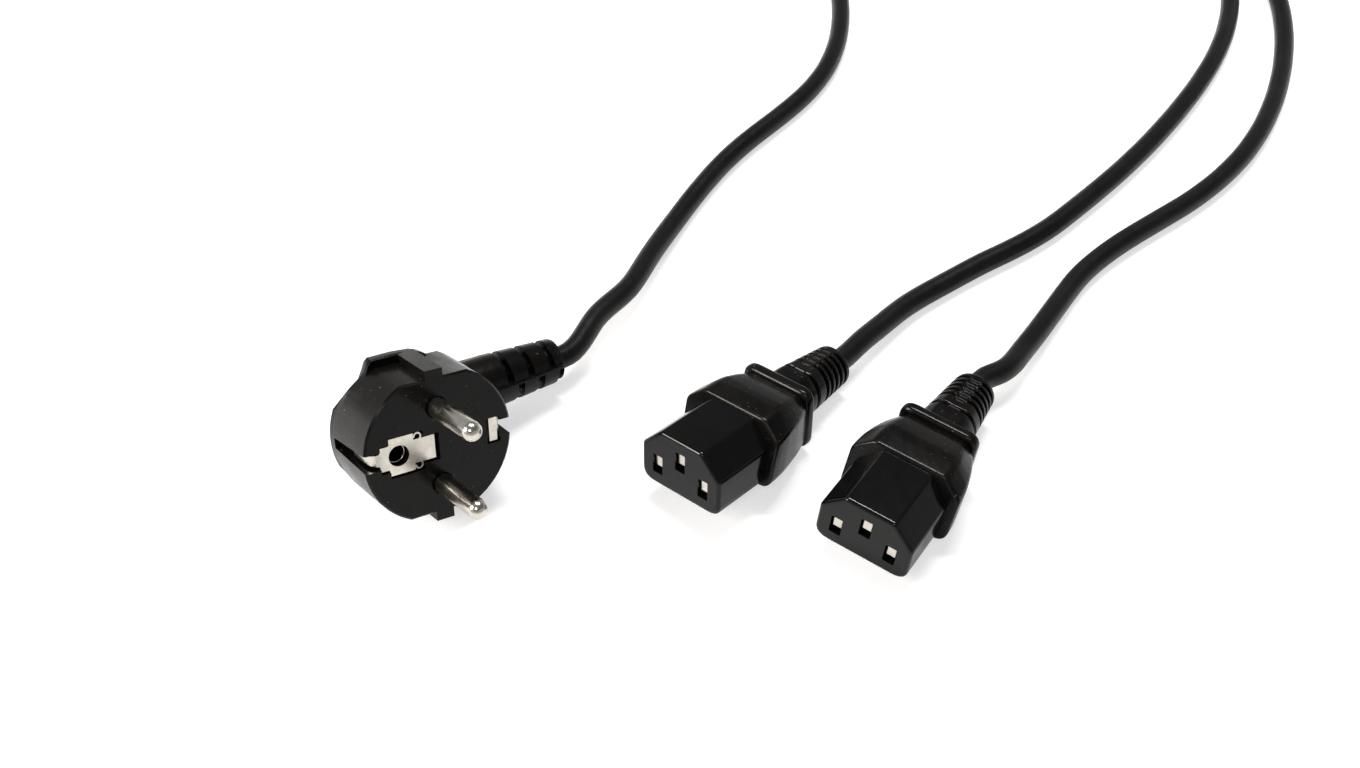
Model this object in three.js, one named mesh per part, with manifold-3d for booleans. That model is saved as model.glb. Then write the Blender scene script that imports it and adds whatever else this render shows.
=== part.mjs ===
// Power cord splitter: one angled earthed plug, a main cord, a splitter block and
// two cords that end in appliance connectors. Millimetres, +Z up.
//
// Places and cord routes are written in the picture frame: its origin is the floor point
// at the centre of the photograph, +X is the photograph's right and +Y leads away.
// The finished part is moved by CENTRE_SHIFT, which centres its rigid pieces on the origin.
import * as THREE from 'three';
import { mergeVertices } from 'three/addons/utils/BufferGeometryUtils.js';
import Module from 'manifold-3d';

const wasm = await Module();
wasm.setup();

// Driving dimensions
const GAP = 0.3;
const CENTRE_SHIFT = new THREE.Vector3(-59.6, -117.0, 0);
const ROUND_STEPS = 24;

// Cord: round sheathed cable with three cores
const CORD_DIAMETER = 6.0;
const CORD_STEP = 12.0;
const CORD_SIDES = 10;
const CORE_DIAMETER = 2.2;
const CORE_RING = 1.46;
const CORE_SIDES = 8;
const STRAIGHT_RUN = 5.0;
const BENT_RUN = 2.5;

// Plug, in its own frame: u towards the cord, v towards the upper pin, w out of the face
const PLUG_PLACE = { x: -54.87, y: -41.8, z: 22.76, yaw: -52.03, pitch: 19.51, roll: -13.17 };
const PLUG_RADIUS = 18.6;
const PLUG_FLAT = 16.6;
const PLUG_FRONT_DEPTH = 15.2;
const PLUG_EDGE = 0.5;
const GUIDE_WIDTH = 4.4;
const GUIDE_HEIGHT = 2.1;
const FLANGE_FRONT = 13.8;
const REAR_DEPTH = 29.8;
const PIN_DIAMETER = 4.8;
const PIN_LENGTH = 19.0;
const PIN_SPACING = 19.0;
const PIN_TAIL_RADIUS = 1.6;
const PIN_TAIL_END = 14.0;
const EARTH_HOLE_PLACE = 9.9;
const EARTH_HOLE_RADIUS = 2.55;
const SLEEVE_WALL = 0.35;
const SLEEVE_FRONT = 2.6;
const SLEEVE_END = 12.0;
const STRIP_THICKNESS = 0.8;
const STRIP_RECESS = 0.6;
const CHANNEL_FLOOR = 14.6;
const CHANNEL_HALF_WIDTH = 2.2;
const CHANNEL_BACK_HALF_WIDTH = 1.3;
const CHANNEL_DEPTH = 16.2;
const HUB_AXIS_DEPTH = 23.0;
const HUB_AXIS_OFFSET = 0.5;
const HUB_TILT = 3.5;
const HUB_START = 8.0;
const HUB_RADIUS = 6.9;
const PLUG_BOOT_START = 26.0;
const PLUG_BOOT_END = 44.6;
const PLUG_BOOT_END_RADIUS = 5.7;
const PLUG_SLOT_WIDTH = 1.9;
const PLUG_SLOT_PITCH = 6.1;
const BOOT_CORE_WALL = 0.9;
const JACKET_INSIDE = 20.0;

// Appliance connectors, in their own frame: u across, v up on the earth side, w out of the face
const LEFT_PLACE = { x: -0.04, y: -42.25, z: 14.68, yaw: -132.5, pitch: 8.0, roll: 6.7 };
const RIGHT_PLACE = { x: 41.55, y: -58.9, z: 11.58, yaw: -123.4, pitch: 3.5, roll: -3.95 };
const NOSE_HALF_WIDTH = 12.0;
const NOSE_HALF_HEIGHT = 8.0;
const NOSE_CHAMFER = 5.75;
const NOSE_LENGTH = 16.2;
const INSERT_LENGTH = 23.0;
const SLOT_WIDTH = 3.0;
const SLOT_HEIGHT = 5.2;
const SLOT_DEPTH = 16.5;
const LIVE_SPACING = 14.0;
const LIVE_DROP = 2.0;
const EARTH_RISE = 2.0;
const CONTACT_WIDTH = 2.4;
const CONTACT_HEIGHT = 4.6;
const CONTACT_FRONT = 1.3;
const CONTACT_LENGTH = 13.5;
const CONTACT_SLIT = 0.4;
const GRIP_FRONT_BOTTOM = 15.4;
const GRIP_FRONT_TOP = 18.8;
const GRIP_END = 34.5;
const BAR_THICKNESS = 3.2;
const BAR_HALF_WIDTH = 10.3;
const BAR_HALF_HEIGHT = 8.4;
const BAR_DROP = 0.5;
const CONNECTOR_NECK_RADIUS = 7.1;
const CONNECTOR_NECK_FLAT = 6.1;
const CONNECTOR_BOOT_START = 42.0;
const CONNECTOR_BOOT_END = 58.5;
const CONNECTOR_BOOT_END_RADIUS = 5.5;
const GROOVE_COUNT = 5;
const GROOVE_WIDTH = 0.9;
const GROOVE_PITCH = 2.1;
const GROOVE_DEPTH = 1.2;
const GROOVE_WEB = 2.9;

// Splitter block, in its own frame: w points out of the end where the two cords leave
const BLOCK_PLACE = { x: 178.0, y: 250.0, z: 6.8, yaw: -55.0, pitch: 0.0, roll: 0.0 };
const BLOCK_LENGTH = 34.0;
const BLOCK_FRONT_HALF_WIDTH = 14.5;
const BLOCK_REAR_HALF_WIDTH = 8.5;
const BLOCK_HALF_HEIGHT = 6.8;
const BRANCH_SPACING = 15.0;
const BRANCH_NECK_LENGTH = 22.0;
const MAIN_NECK_LENGTH = 24.0;
const NECK_RADIUS = 5.8;
const NECK_END_RADIUS = 4.5;
const CHAMBER_HALF_WIDTH = 10.6;
const CHAMBER_REAR_HALF_WIDTH = 8.2;
const CHAMBER_HALF_HEIGHT = 4.5;
const CHAMBER_FRONT = 5.0;
const CHAMBER_REAR = 27.0;
const SPLICE_SPACING = 6.4;
const SPLICE_RADIUS = 2.4;
const SPLICE_FRONT = 14.5;
const SPLICE_LENGTH = 6.0;

// Coil of the main cord, wound in two layers of three turns, and its tie
const COIL_CENTRE = { x: 95.0, y: 280.0 };
const COIL_MIDDLE_RADIUS = 34.3;
const COIL_TURNS_WIDE = 3;
const COIL_TURNS_HIGH = 2;
const COIL_BOTTOM = 1.1;
const TIE_WIDTH = 6.0;
const TIE_THICKNESS = 0.7;
const TIE_ANGLE = -50.0;

// Routes on the floor between the rigid pieces, in the picture frame
const MAIN_ROUTE = [
  [-21.9, 14.6, 9.0],
  [-14.9, 28.7, 6.8],
  [-9.1, 43.2, 4.8],
  [-3.3, 57.7, 3.5],
  [3.2, 71.8, 3.0],
  [9.9, 84.4, 3.0],
  [17.2, 95.8, 3.0],
  [25.5, 106.4, 3.0],
  [36.0, 119.6, 3.0],
  [44.0, 132.4, 3.0],
  [49.8, 147.0, 3.0],
  [53.2, 162.6, 3.0],
  [54.6, 179.0, 3.0],
  [54.9, 196.0, 3.0],
  [54.8, 213.0, 3.6],
  [54.7, 229.0, 5.2],
  [54.7, 244.0, 7.6],
  [54.7, 259.0, 9.6],
  [54.7, 272.0, 10.1],
];
const BLOCK_ROUTE = [
  [128.6, 316.8, 4.6],
  [117.0, 319.6, 4.1],
  [106.0, 320.3, 4.1],
];
const LEFT_ROUTE = [
  [46.9, 10.0, 5.2],
  [52.9, 17.1, 4.4],
  [60.5, 25.6, 3.6],
  [71.1, 34.5, 3.0],
  [83.3, 43.4, 3.0],
  [95.7, 51.7, 3.0],
  [105.4, 59.4, 3.0],
  [114.6, 68.4, 3.0],
  [124.6, 78.8, 3.0],
  [135.0, 90.4, 3.0],
  [145.0, 102.6, 3.0],
  [154.6, 115.4, 3.0],
  [163.8, 128.8, 3.0],
  [172.4, 143.0, 3.0],
  [180.0, 158.2, 3.0],
  [186.0, 174.2, 3.0],
  [189.4, 190.8, 3.6],
  [188.9, 206.8, 5.4],
];
const RIGHT_ROUTE = [
  [81.0, -3.0, 7.2],
  [87.7, 5.1, 5.6],
  [94.8, 16.0, 4.1],
  [103.8, 29.9, 3.1],
  [110.2, 38.8, 3.0],
  [118.4, 47.4, 3.0],
  [128.0, 55.6, 3.0],
  [138.4, 63.6, 3.0],
  [149.0, 72.0, 3.0],
  [159.2, 81.6, 3.0],
  [168.8, 92.6, 3.0],
  [177.4, 105.0, 3.0],
  [185.0, 118.6, 3.0],
  [191.6, 133.2, 3.0],
  [197.2, 148.8, 3.0],
  [201.6, 165.2, 3.0],
  [204.4, 182.2, 3.0],
  [204.8, 199.2, 3.8],
  [202.4, 214.8, 5.4],
];

// Materials
const SOFT_BLACK = new THREE.MeshStandardMaterial({ color: 0x18181a, roughness: 0.55 });
const HARD_BLACK = new THREE.MeshStandardMaterial({ color: 0x0e0e10, roughness: 0.3 });
const CORD_BLACK = new THREE.MeshStandardMaterial({ color: 0x141416, roughness: 0.5 });
const NICKEL = new THREE.MeshStandardMaterial({ color: 0xc9c2b4, roughness: 0.25, metalness: 1 });
const BROWN_CORE = new THREE.MeshStandardMaterial({ color: 0x5a3420, roughness: 0.5 });
const BLUE_CORE = new THREE.MeshStandardMaterial({ color: 0x2a5ea8, roughness: 0.5 });
const EARTH_CORE = new THREE.MeshStandardMaterial({ color: 0x6f9a2c, roughness: 0.5 });
const COPPER = new THREE.MeshStandardMaterial({ color: 0xb07a4a, roughness: 0.35, metalness: 1 });
const TIE_BLACK = new THREE.MeshStandardMaterial({ color: 0x222224, roughness: 0.6 });

// Geometry helpers

/** Turns a closed three.js geometry into a solid for the boolean operations. */
function solid(geometry) {
  const bare = geometry.clone();
  bare.deleteAttribute('normal');
  bare.deleteAttribute('uv');
  const merged = mergeVertices(bare, 1e-4);
  const mesh = new wasm.Mesh({
    numProp: 3,
    vertProperties: new Float32Array(merged.attributes.position.array),
    triVerts: new Uint32Array(merged.index.array),
  });
  return new wasm.Manifold(mesh);
}

/** Makes a named mesh from a solid. */
function piece(name, body, material) {
  const data = body.getMesh();
  const geometry = new THREE.BufferGeometry();
  geometry.setAttribute('position', new THREE.BufferAttribute(data.vertProperties, 3));
  geometry.setIndex(new THREE.BufferAttribute(data.triVerts, 1));
  geometry.translate(CENTRE_SHIFT.x, CENTRE_SHIFT.y, CENTRE_SHIFT.z);
  const flat = geometry.toNonIndexed();
  flat.computeVertexNormals();
  const mesh = new THREE.Mesh(flat, material);
  mesh.name = name;
  return mesh;
}

/** Moves a solid by a three.js matrix. */
function moved(body, matrix) {
  return body.transform(matrix.elements);
}

/** A box from its least to its greatest corner. */
function block(low, high) {
  const size = high.map((value, axis) => value - low[axis]);
  const geometry = new THREE.BoxGeometry(...size);
  geometry.translate(...high.map((value, axis) => (value + low[axis]) / 2));
  return solid(geometry);
}

/** A round bar along Z, from low to high, at (x, y). */
function bar(radius, low, high, x = 0, y = 0, endRadius = radius) {
  const geometry = new THREE.CylinderGeometry(endRadius, radius, high - low, ROUND_STEPS);
  geometry.rotateX(Math.PI / 2);
  geometry.translate(x, y, (low + high) / 2);
  return solid(geometry);
}

/** A body turned about Z from [radius, height] points that start and end on the axis. */
function turned(profile) {
  const points = profile.map(([radius, height]) => new THREE.Vector2(radius, height));
  const geometry = new THREE.LatheGeometry(points, ROUND_STEPS);
  geometry.rotateX(Math.PI / 2);
  return solid(geometry);
}

/** A flat outline in the XY plane made into a plate between two heights. */
function plate(outline, low, high, holes = []) {
  const shape = new THREE.Shape(outline.map(([x, y]) => new THREE.Vector2(x, y)));
  for (const hole of holes) {
    const path = new THREE.Path();
    path.absarc(hole.x, hole.y, hole.radius, 0, Math.PI * 2);
    shape.holes.push(path);
  }
  const settings = { depth: high - low, bevelEnabled: false, curveSegments: ROUND_STEPS };
  const geometry = new THREE.ExtrudeGeometry(shape, settings);
  geometry.translate(0, 0, low);
  return solid(geometry);
}

/** A closed body through rings of [x, y] points, each at its height, listed upwards. */
function loft(rings) {
  const count = rings[0].points.length;
  const positions = [];
  for (const ring of rings) {
    for (const [x, y] of ring.points) {
      positions.push(x, y, ring.height);
    }
  }
  const index = [];
  for (let level = 0; level < rings.length - 1; level += 1) {
    for (let i = 0; i < count; i += 1) {
      const a = level * count + i;
      const b = level * count + ((i + 1) % count);
      index.push(a, b, b + count, a, b + count, a + count);
    }
  }
  const top = (rings.length - 1) * count;
  const low = positions.length / 3;
  positions.push(0, 0, rings[0].height, 0, 0, rings[rings.length - 1].height);
  for (let i = 0; i < count; i += 1) {
    const next = (i + 1) % count;
    index.push(low, next, i, low + 1, top + i, top + next);
  }
  const geometry = new THREE.BufferGeometry();
  geometry.setAttribute('position', new THREE.Float32BufferAttribute(positions, 3));
  geometry.setIndex(index);
  return solid(geometry);
}

/** Points of a polygon whose corners [x, y, radius] are rounded by arcs. */
function roundedOutline(corners, steps = 4) {
  const points = [];
  corners.forEach(([x, y, radius], i) => {
    const corner = new THREE.Vector2(x, y);
    const before = new THREE.Vector2(...corners[(i + corners.length - 1) % corners.length]);
    const after = new THREE.Vector2(...corners[(i + 1) % corners.length]);
    const back = before.clone().sub(corner).normalize();
    const ahead = after.clone().sub(corner).normalize();
    const half = Math.acos(THREE.MathUtils.clamp(back.dot(ahead), -1, 1)) / 2;
    const reach = radius / Math.tan(half);
    const curve = new THREE.QuadraticBezierCurve(
      corner.clone().addScaledVector(back, reach),
      corner,
      corner.clone().addScaledVector(ahead, reach),
    );
    for (let step = 0; step <= steps; step += 1) {
      const point = curve.getPoint(step / steps);
      points.push([point.x, point.y]);
    }
  });
  return points;
}

/** A rectangle with rounded corners, centred on the origin. */
function roundedRectangle(halfWidth, halfHeight, radius) {
  return roundedOutline([
    [halfWidth, -halfHeight, radius],
    [halfWidth, halfHeight, radius],
    [-halfWidth, halfHeight, radius],
    [-halfWidth, -halfHeight, radius],
  ]);
}

/** A circle cut by two flats at y = -flat and y = +flat. */
function flattedCircle(radius, flat) {
  const limit = Math.asin(Math.min(1, flat / radius));
  const points = [];
  for (const start of [0, Math.PI]) {
    for (let step = 0; step <= ROUND_STEPS; step += 1) {
      const angle = start - limit + (2 * limit * step) / ROUND_STEPS;
      points.push([radius * Math.cos(angle), radius * Math.sin(angle)]);
    }
  }
  return points;
}

/** A smooth curve through points given as [x, y, z] or vectors. */
function curveThrough(points) {
  const vectors = points.map((p) => (Array.isArray(p) ? new THREE.Vector3(...p) : p));
  return new THREE.CatmullRomCurve3(vectors, false, 'centripetal');
}

/** A closed round tube along a smooth curve. */
function tube(points, radius, sides, stepLength) {
  const curve = curveThrough(points);
  const ring = [];
  for (let i = 0; i < sides; i += 1) {
    const angle = (2 * Math.PI * i) / sides;
    ring.push(new THREE.Vector2(radius * Math.cos(angle), radius * Math.sin(angle)));
  }
  const steps = Math.max(2, Math.round(curve.getLength() / stepLength));
  const settings = { steps, extrudePath: curve, bevelEnabled: false };
  return solid(new THREE.ExtrudeGeometry(new THREE.Shape(ring), settings));
}

/** A core wire along a curve, in the frame of the piece that holds it. */
function core(points, clearance = 0) {
  return tube(points, CORE_DIAMETER / 2 + clearance, CORE_SIDES, CORE_DIAMETER);
}

/** The frame of a placed piece, and points of that frame in the picture frame. */
class Frame {
  constructor(place) {
    const yaw = THREE.MathUtils.degToRad(place.yaw);
    const pitch = THREE.MathUtils.degToRad(place.pitch);
    const w = new THREE.Vector3(
      Math.cos(yaw) * Math.cos(pitch),
      Math.sin(yaw) * Math.cos(pitch),
      Math.sin(pitch),
    );
    const u = new THREE.Vector3(0, 0, 1).cross(w).normalize();
    const v = w.clone().cross(u);
    const roll = new THREE.Matrix4().makeRotationZ(THREE.MathUtils.degToRad(place.roll));
    this.matrix = new THREE.Matrix4().makeBasis(u, v, w).multiply(roll);
    this.matrix.setPosition(place.x, place.y, place.z);
  }

  point(u, v, w) {
    return new THREE.Vector3(u, v, w).applyMatrix4(this.matrix);
  }

  piece(name, body, material) {
    return piece(name, moved(body, this.matrix), material);
  }
}

/** Matrix of a cord outlet inside a piece: z along the cord, x on the slotted side. */
function outletMatrix(origin, axis, side) {
  const z = new THREE.Vector3(...axis).normalize();
  const x = new THREE.Vector3(...side).normalize();
  const matrix = new THREE.Matrix4().makeBasis(x, z.clone().cross(x), z);
  matrix.setPosition(...origin);
  return matrix;
}

/** Centres of the three cores on the end of a cord, turned by an angle in degrees. */
function corePlaces(turn = 90) {
  const names = ['earth', 'line', 'neutral'];
  const places = {};
  names.forEach((name, i) => {
    const angle = THREE.MathUtils.degToRad(turn + 120 * i);
    places[name] = [CORE_RING * Math.cos(angle), CORE_RING * Math.sin(angle)];
  });
  return places;
}

const CORD_RADIUS = CORD_DIAMETER / 2;
const BORE_RADIUS = CORD_RADIUS + GAP;

/** The bore that a cord's jacket lies in, with a widened mouth at the end. */
function jacketBore(start, end) {
  const mouth = bar(BORE_RADIUS, end - 2, end + 1, 0, 0, BORE_RADIUS + 0.9);
  return bar(BORE_RADIUS, start, end + 1).add(mouth);
}

/** A tapered strain relief along +Z, with flats at x = -flat and +flat if one is given. */
function taperedNeck(start, end, startRadius, endRadius, startFlat = 99, endFlat = 99) {
  const edge = 0.9;
  const stations = [
    [start, startRadius, startFlat],
    [end - edge, endRadius, endFlat],
    [end - edge * 0.3, endRadius - edge * 0.3, endFlat - edge * 0.3],
    [end, endRadius - edge, endFlat - edge],
  ];
  const rings = stations.map(([height, radius, flat]) => {
    const points = [];
    for (let i = 0; i < ROUND_STEPS; i += 1) {
      const angle = (2 * Math.PI * i) / ROUND_STEPS;
      const x = THREE.MathUtils.clamp(radius * Math.cos(angle), -flat, flat);
      points.push([x, radius * Math.sin(angle)]);
    }
    return { height, points };
  });
  return loft(rings);
}

// Plug

/** Upper half of the rear grip at its flange, from the earth side over the hump to the hub. */
const FLANGE_HUMP = [
  [-11.4, 14.2], [-10.4, 16.2], [-9.7, 17.9], [-8.8, 18.8], [-3.0, 18.9], [1.6, 18.6],
  [3.8, 17.8], [6.4, 16.0], [10.0, 13.6], [13.6, 10.6], [16.0, 7.4], [17.0, 4.0],
];

/** The same points behind the flange, where the sides of the rim end in lobes. */
const LOBE_HUMP = [
  [-13.2, 8.2], [-11.4, 10.8], [-9.6, 14.2], [-8.0, 16.2], [-3.0, 16.8], [1.6, 16.6],
  [3.8, 16.1], [6.4, 15.0], [10.0, 12.8], [13.4, 10.0], [15.6, 7.2], [16.6, 4.0],
];

/** Outline of the rear grip: an arc on the earth side, then the hump, mirrored below. */
function rearOutline(radius, arcEnd, hump, scale) {
  const upper = [];
  for (let step = 0; step <= 8; step += 1) {
    const angle = THREE.MathUtils.degToRad(180 - ((180 - arcEnd) * step) / 8);
    upper.push([radius * Math.cos(angle), radius * Math.sin(angle)]);
  }
  upper.push(...hump);
  const lower = upper.slice(1).reverse().map(([x, y]) => [x, -y]);
  return [...lower, ...upper].reverse().map(([x, y]) => [x * scale, y * scale]);
}

/** The rear grip of the plug, from its front flange to the domed back. */
function plugRear() {
  const flangeArc = 138;
  const lobeArc = 157;
  const stations = [
    [REAR_DEPTH, 15.5, lobeArc, LOBE_HUMP, 0.5],
    [REAR_DEPTH - 1.0, 15.5, lobeArc, LOBE_HUMP, 0.6],
    [REAR_DEPTH - 3.8, 15.5, lobeArc, LOBE_HUMP, 0.74],
    [REAR_DEPTH - 7.6, 16.6, lobeArc, LOBE_HUMP, 0.87],
    [REAR_DEPTH - 10.1, 17.6, lobeArc, LOBE_HUMP, 0.95],
    [REAR_DEPTH - 11.0, PLUG_RADIUS, lobeArc, LOBE_HUMP, 1.0],
    [FLANGE_FRONT + 2.2, PLUG_RADIUS, flangeArc, FLANGE_HUMP, 1.0],
    [FLANGE_FRONT + 0.5, PLUG_RADIUS, flangeArc, FLANGE_HUMP, 1.0],
    [FLANGE_FRONT, PLUG_RADIUS, flangeArc, FLANGE_HUMP, 0.98],
  ];
  return loft(stations.map(([depth, ...shape]) => ({
    height: -depth,
    points: rearOutline(...shape),
  })));
}

/** The front disc of the plug with its flats and softened edges. */
function plugDisc() {
  const stations = [
    [PLUG_FRONT_DEPTH, 0],
    [PLUG_EDGE, 0],
    [0, PLUG_EDGE],
  ];
  return loft(stations.map(([depth, inset]) => ({
    height: -depth,
    points: flattedCircle(PLUG_RADIUS - inset, PLUG_FLAT - inset),
  })));
}

/** One earth channel in the rim, narrowing towards the back, on the side of the sign. */
function earthChannel(side) {
  const front = CHANNEL_HALF_WIDTH;
  const back = CHANNEL_BACK_HALF_WIDTH;
  const outline = [[-1, front], [CHANNEL_DEPTH, back], [CHANNEL_DEPTH, -back], [-1, -front]];
  const cut = plate(outline, CHANNEL_FLOOR, PLUG_RADIUS + 3);
  const turn = new THREE.Matrix4().makeBasis(
    new THREE.Vector3(0, 0, -1),
    new THREE.Vector3(0, side, 0),
    new THREE.Vector3(side, 0, 0),
  );
  return moved(cut, turn);
}

/** Flat shape of the earth strip seen on the face, widened by a margin. */
function stripOutline(margin = 0) {
  const right = [[-4.2, 2.9], [17.4, 2.9]];
  const left = [
    [-16.8, 0.9], [-14.6, 1.5], [-14.6, 2.9], [-12.4, 2.9], [-12.4, 4.5], [-6.1, 4.5], [-6.1, 2.9],
  ];
  const upper = [...left, ...right].map(([u, v]) => [u, v + margin]);
  upper[0][0] -= 1.2;
  upper[upper.length - 1][0] += margin;
  const lower = upper.slice().reverse().map(([u, v]) => [u, -v]);
  return [...lower, ...upper].reverse();
}

/** Side view of the bent strip: [u, depth] along its middle line. */
const STRIP_DEPTH = STRIP_RECESS + STRIP_THICKNESS / 2;
const STRIP_PATH = [
  [-15.6, 12.2],
  [-16.5, 9.0],
  [-16.4, 4.0],
  [-16.0, 2.1],
  [-15.2, STRIP_DEPTH + 0.2],
  [-14.4, STRIP_DEPTH],
  [-0.9, STRIP_DEPTH],
  [-0.3, STRIP_DEPTH + 0.6],
  [0.2, 6.4],
  [0.8, 7.0],
  [11.8, 7.0],
  [12.4, 6.4],
  [12.6, STRIP_DEPTH + 0.6],
  [13.2, STRIP_DEPTH],
  [15.0, STRIP_DEPTH],
  [15.7, STRIP_DEPTH + 0.8],
  [16.3, 4.0],
  [16.5, 9.0],
  [15.6, 12.2],
];

/** Outline of a band of even thickness along a path of [x, y] points. */
function bandOutline(path, thickness) {
  const one = [];
  const other = [];
  path.forEach(([x, y], i) => {
    const before = path[Math.max(0, i - 1)];
    const after = path[Math.min(path.length - 1, i + 1)];
    const along = new THREE.Vector2(after[0] - before[0], after[1] - before[1]).normalize();
    one.push([x - (along.y * thickness) / 2, y + (along.x * thickness) / 2]);
    other.unshift([x + (along.y * thickness) / 2, y - (along.x * thickness) / 2]);
  });
  return [...one, ...other];
}

/** The earth strip as one bent stamping, grown by a clearance when it is cut from the body. */
function earthStrip(clearance = 0) {
  const half = 6;
  const profile = bandOutline(STRIP_PATH, STRIP_THICKNESS + 2 * clearance);
  const upright = new THREE.Matrix4().makeBasis(
    new THREE.Vector3(1, 0, 0),
    new THREE.Vector3(0, 0, -1),
    new THREE.Vector3(0, 1, 0),
  );
  const band = moved(plate(profile, -half, half), upright);
  const outline = plate(stripOutline(clearance), -20, 1);
  return band.intersect(outline);
}

/** Small curled ears beside the strip, one above and one below its narrow part. */
function stripEars() {
  const path = [];
  for (let step = 0; step <= 10; step += 1) {
    const angle = THREE.MathUtils.degToRad(-60 + 25 * step);
    path.push([-5.1 + 0.85 * Math.cos(angle), 3.5 + 0.85 * Math.sin(angle)]);
  }
  const top = STRIP_DEPTH + STRIP_THICKNESS / 2;
  const ear = plate(bandOutline(path, 0.4), -top, -STRIP_RECESS);
  return ear.add(ear.mirror([0, 1, 0]));
}

/** One pin with its tail, standing along Z with its face plane at zero. */
function plugPin(clearance = 0) {
  const radius = PIN_DIAMETER / 2 + clearance;
  const tail = PIN_TAIL_RADIUS + clearance;
  const shoulder = -8.5 - clearance;
  const profile = [[0, -PIN_TAIL_END - clearance], [tail, -PIN_TAIL_END - clearance]];
  profile.push([tail, shoulder], [radius, shoulder]);
  for (let step = 0; step <= 6; step += 1) {
    const angle = (Math.PI / 2) * (step / 6);
    const height = PIN_LENGTH - PIN_DIAMETER / 2 + radius * Math.sin(angle);
    profile.push([Math.max(0, radius * Math.cos(angle)), height]);
  }
  profile[profile.length - 1][0] = 0;
  return turned(profile);
}

/** Places the pin at its hole, on the side of the sign. */
function pinAt(side, clearance = 0) {
  return plugPin(clearance).translate([0, (side * PIN_SPACING) / 2, 0]);
}

/** The stiff bridge that holds both pins inside the moulding. */
function pinBridge(clearance = 0) {
  const halfWidth = 4.6 + clearance;
  const halfLength = PIN_SPACING / 2 + 3.9 + clearance;
  const outline = roundedRectangle(halfWidth, halfLength, 3);
  return plate(outline, -12.2 - clearance, -9.2 + clearance);
}

const HUB_DIRECTION = [
  Math.cos(THREE.MathUtils.degToRad(HUB_TILT)),
  Math.sin(THREE.MathUtils.degToRad(HUB_TILT)),
  0,
];
const HUB_SIDE = [-HUB_DIRECTION[1], HUB_DIRECTION[0], 0];
const HUB_MATRIX = outletMatrix([0, HUB_AXIS_OFFSET, -HUB_AXIS_DEPTH], HUB_DIRECTION, HUB_SIDE);

/** Half-round slots of the plug's strain relief, three above and three below, staggered. */
function plugBootSlots() {
  const cuts = [];
  const wide = HUB_RADIUS + 4;
  for (let i = 0; i < 3; i += 1) {
    const upper = PLUG_BOOT_START + 1.5 + i * PLUG_SLOT_PITCH;
    const lower = upper + PLUG_SLOT_PITCH / 2 - 0.2;
    cuts.push(block([0.5, -wide, upper], [wide, wide, upper + PLUG_SLOT_WIDTH]));
    cuts.push(block([-wide, -wide, lower], [-0.5, wide, lower + PLUG_SLOT_WIDTH]));
  }
  const inner = bar(BORE_RADIUS + BOOT_CORE_WALL, PLUG_BOOT_START - 5, PLUG_BOOT_END + 5);
  return wasm.Manifold.union(cuts).subtract(inner);
}

/** Paths of the plug's cores from the end of the jacket to the pins and the earth strip. */
function plugCorePaths() {
  const jacketEnd = PLUG_BOOT_END - JACKET_INSIDE;
  const places = corePlaces(90);
  const start = {};
  for (const [name, [x, y]] of Object.entries(places)) {
    start[name] = [jacketEnd - GAP, jacketEnd - 3].map((along) => (
      new THREE.Vector3(x, y, along).applyMatrix4(HUB_MATRIX)
    ));
  }
  const tail = -PIN_TAIL_END - GAP - 0.05;
  const pin = PIN_SPACING / 2;
  return {
    line: [...start.line, [15.5, -2.6, -23.2], [8.5, -7.2, -22.4], [2.4, -9.3, -19.6], [0.2, -pin, -16.6], [0, -pin, tail]],
    neutral: [...start.neutral, [15.5, 4.4, -23.2], [8.5, 7.8, -22.4], [2.4, 9.3, -19.6], [0.2, pin, -16.6], [0, pin, tail]],
    earth: [...start.earth, [16.5, 1.4, -19.4], [12.6, 0.8, -15.6], [9.4, 0.2, -11.6], [8.6, 0, -8.0]],
  };
}

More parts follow.
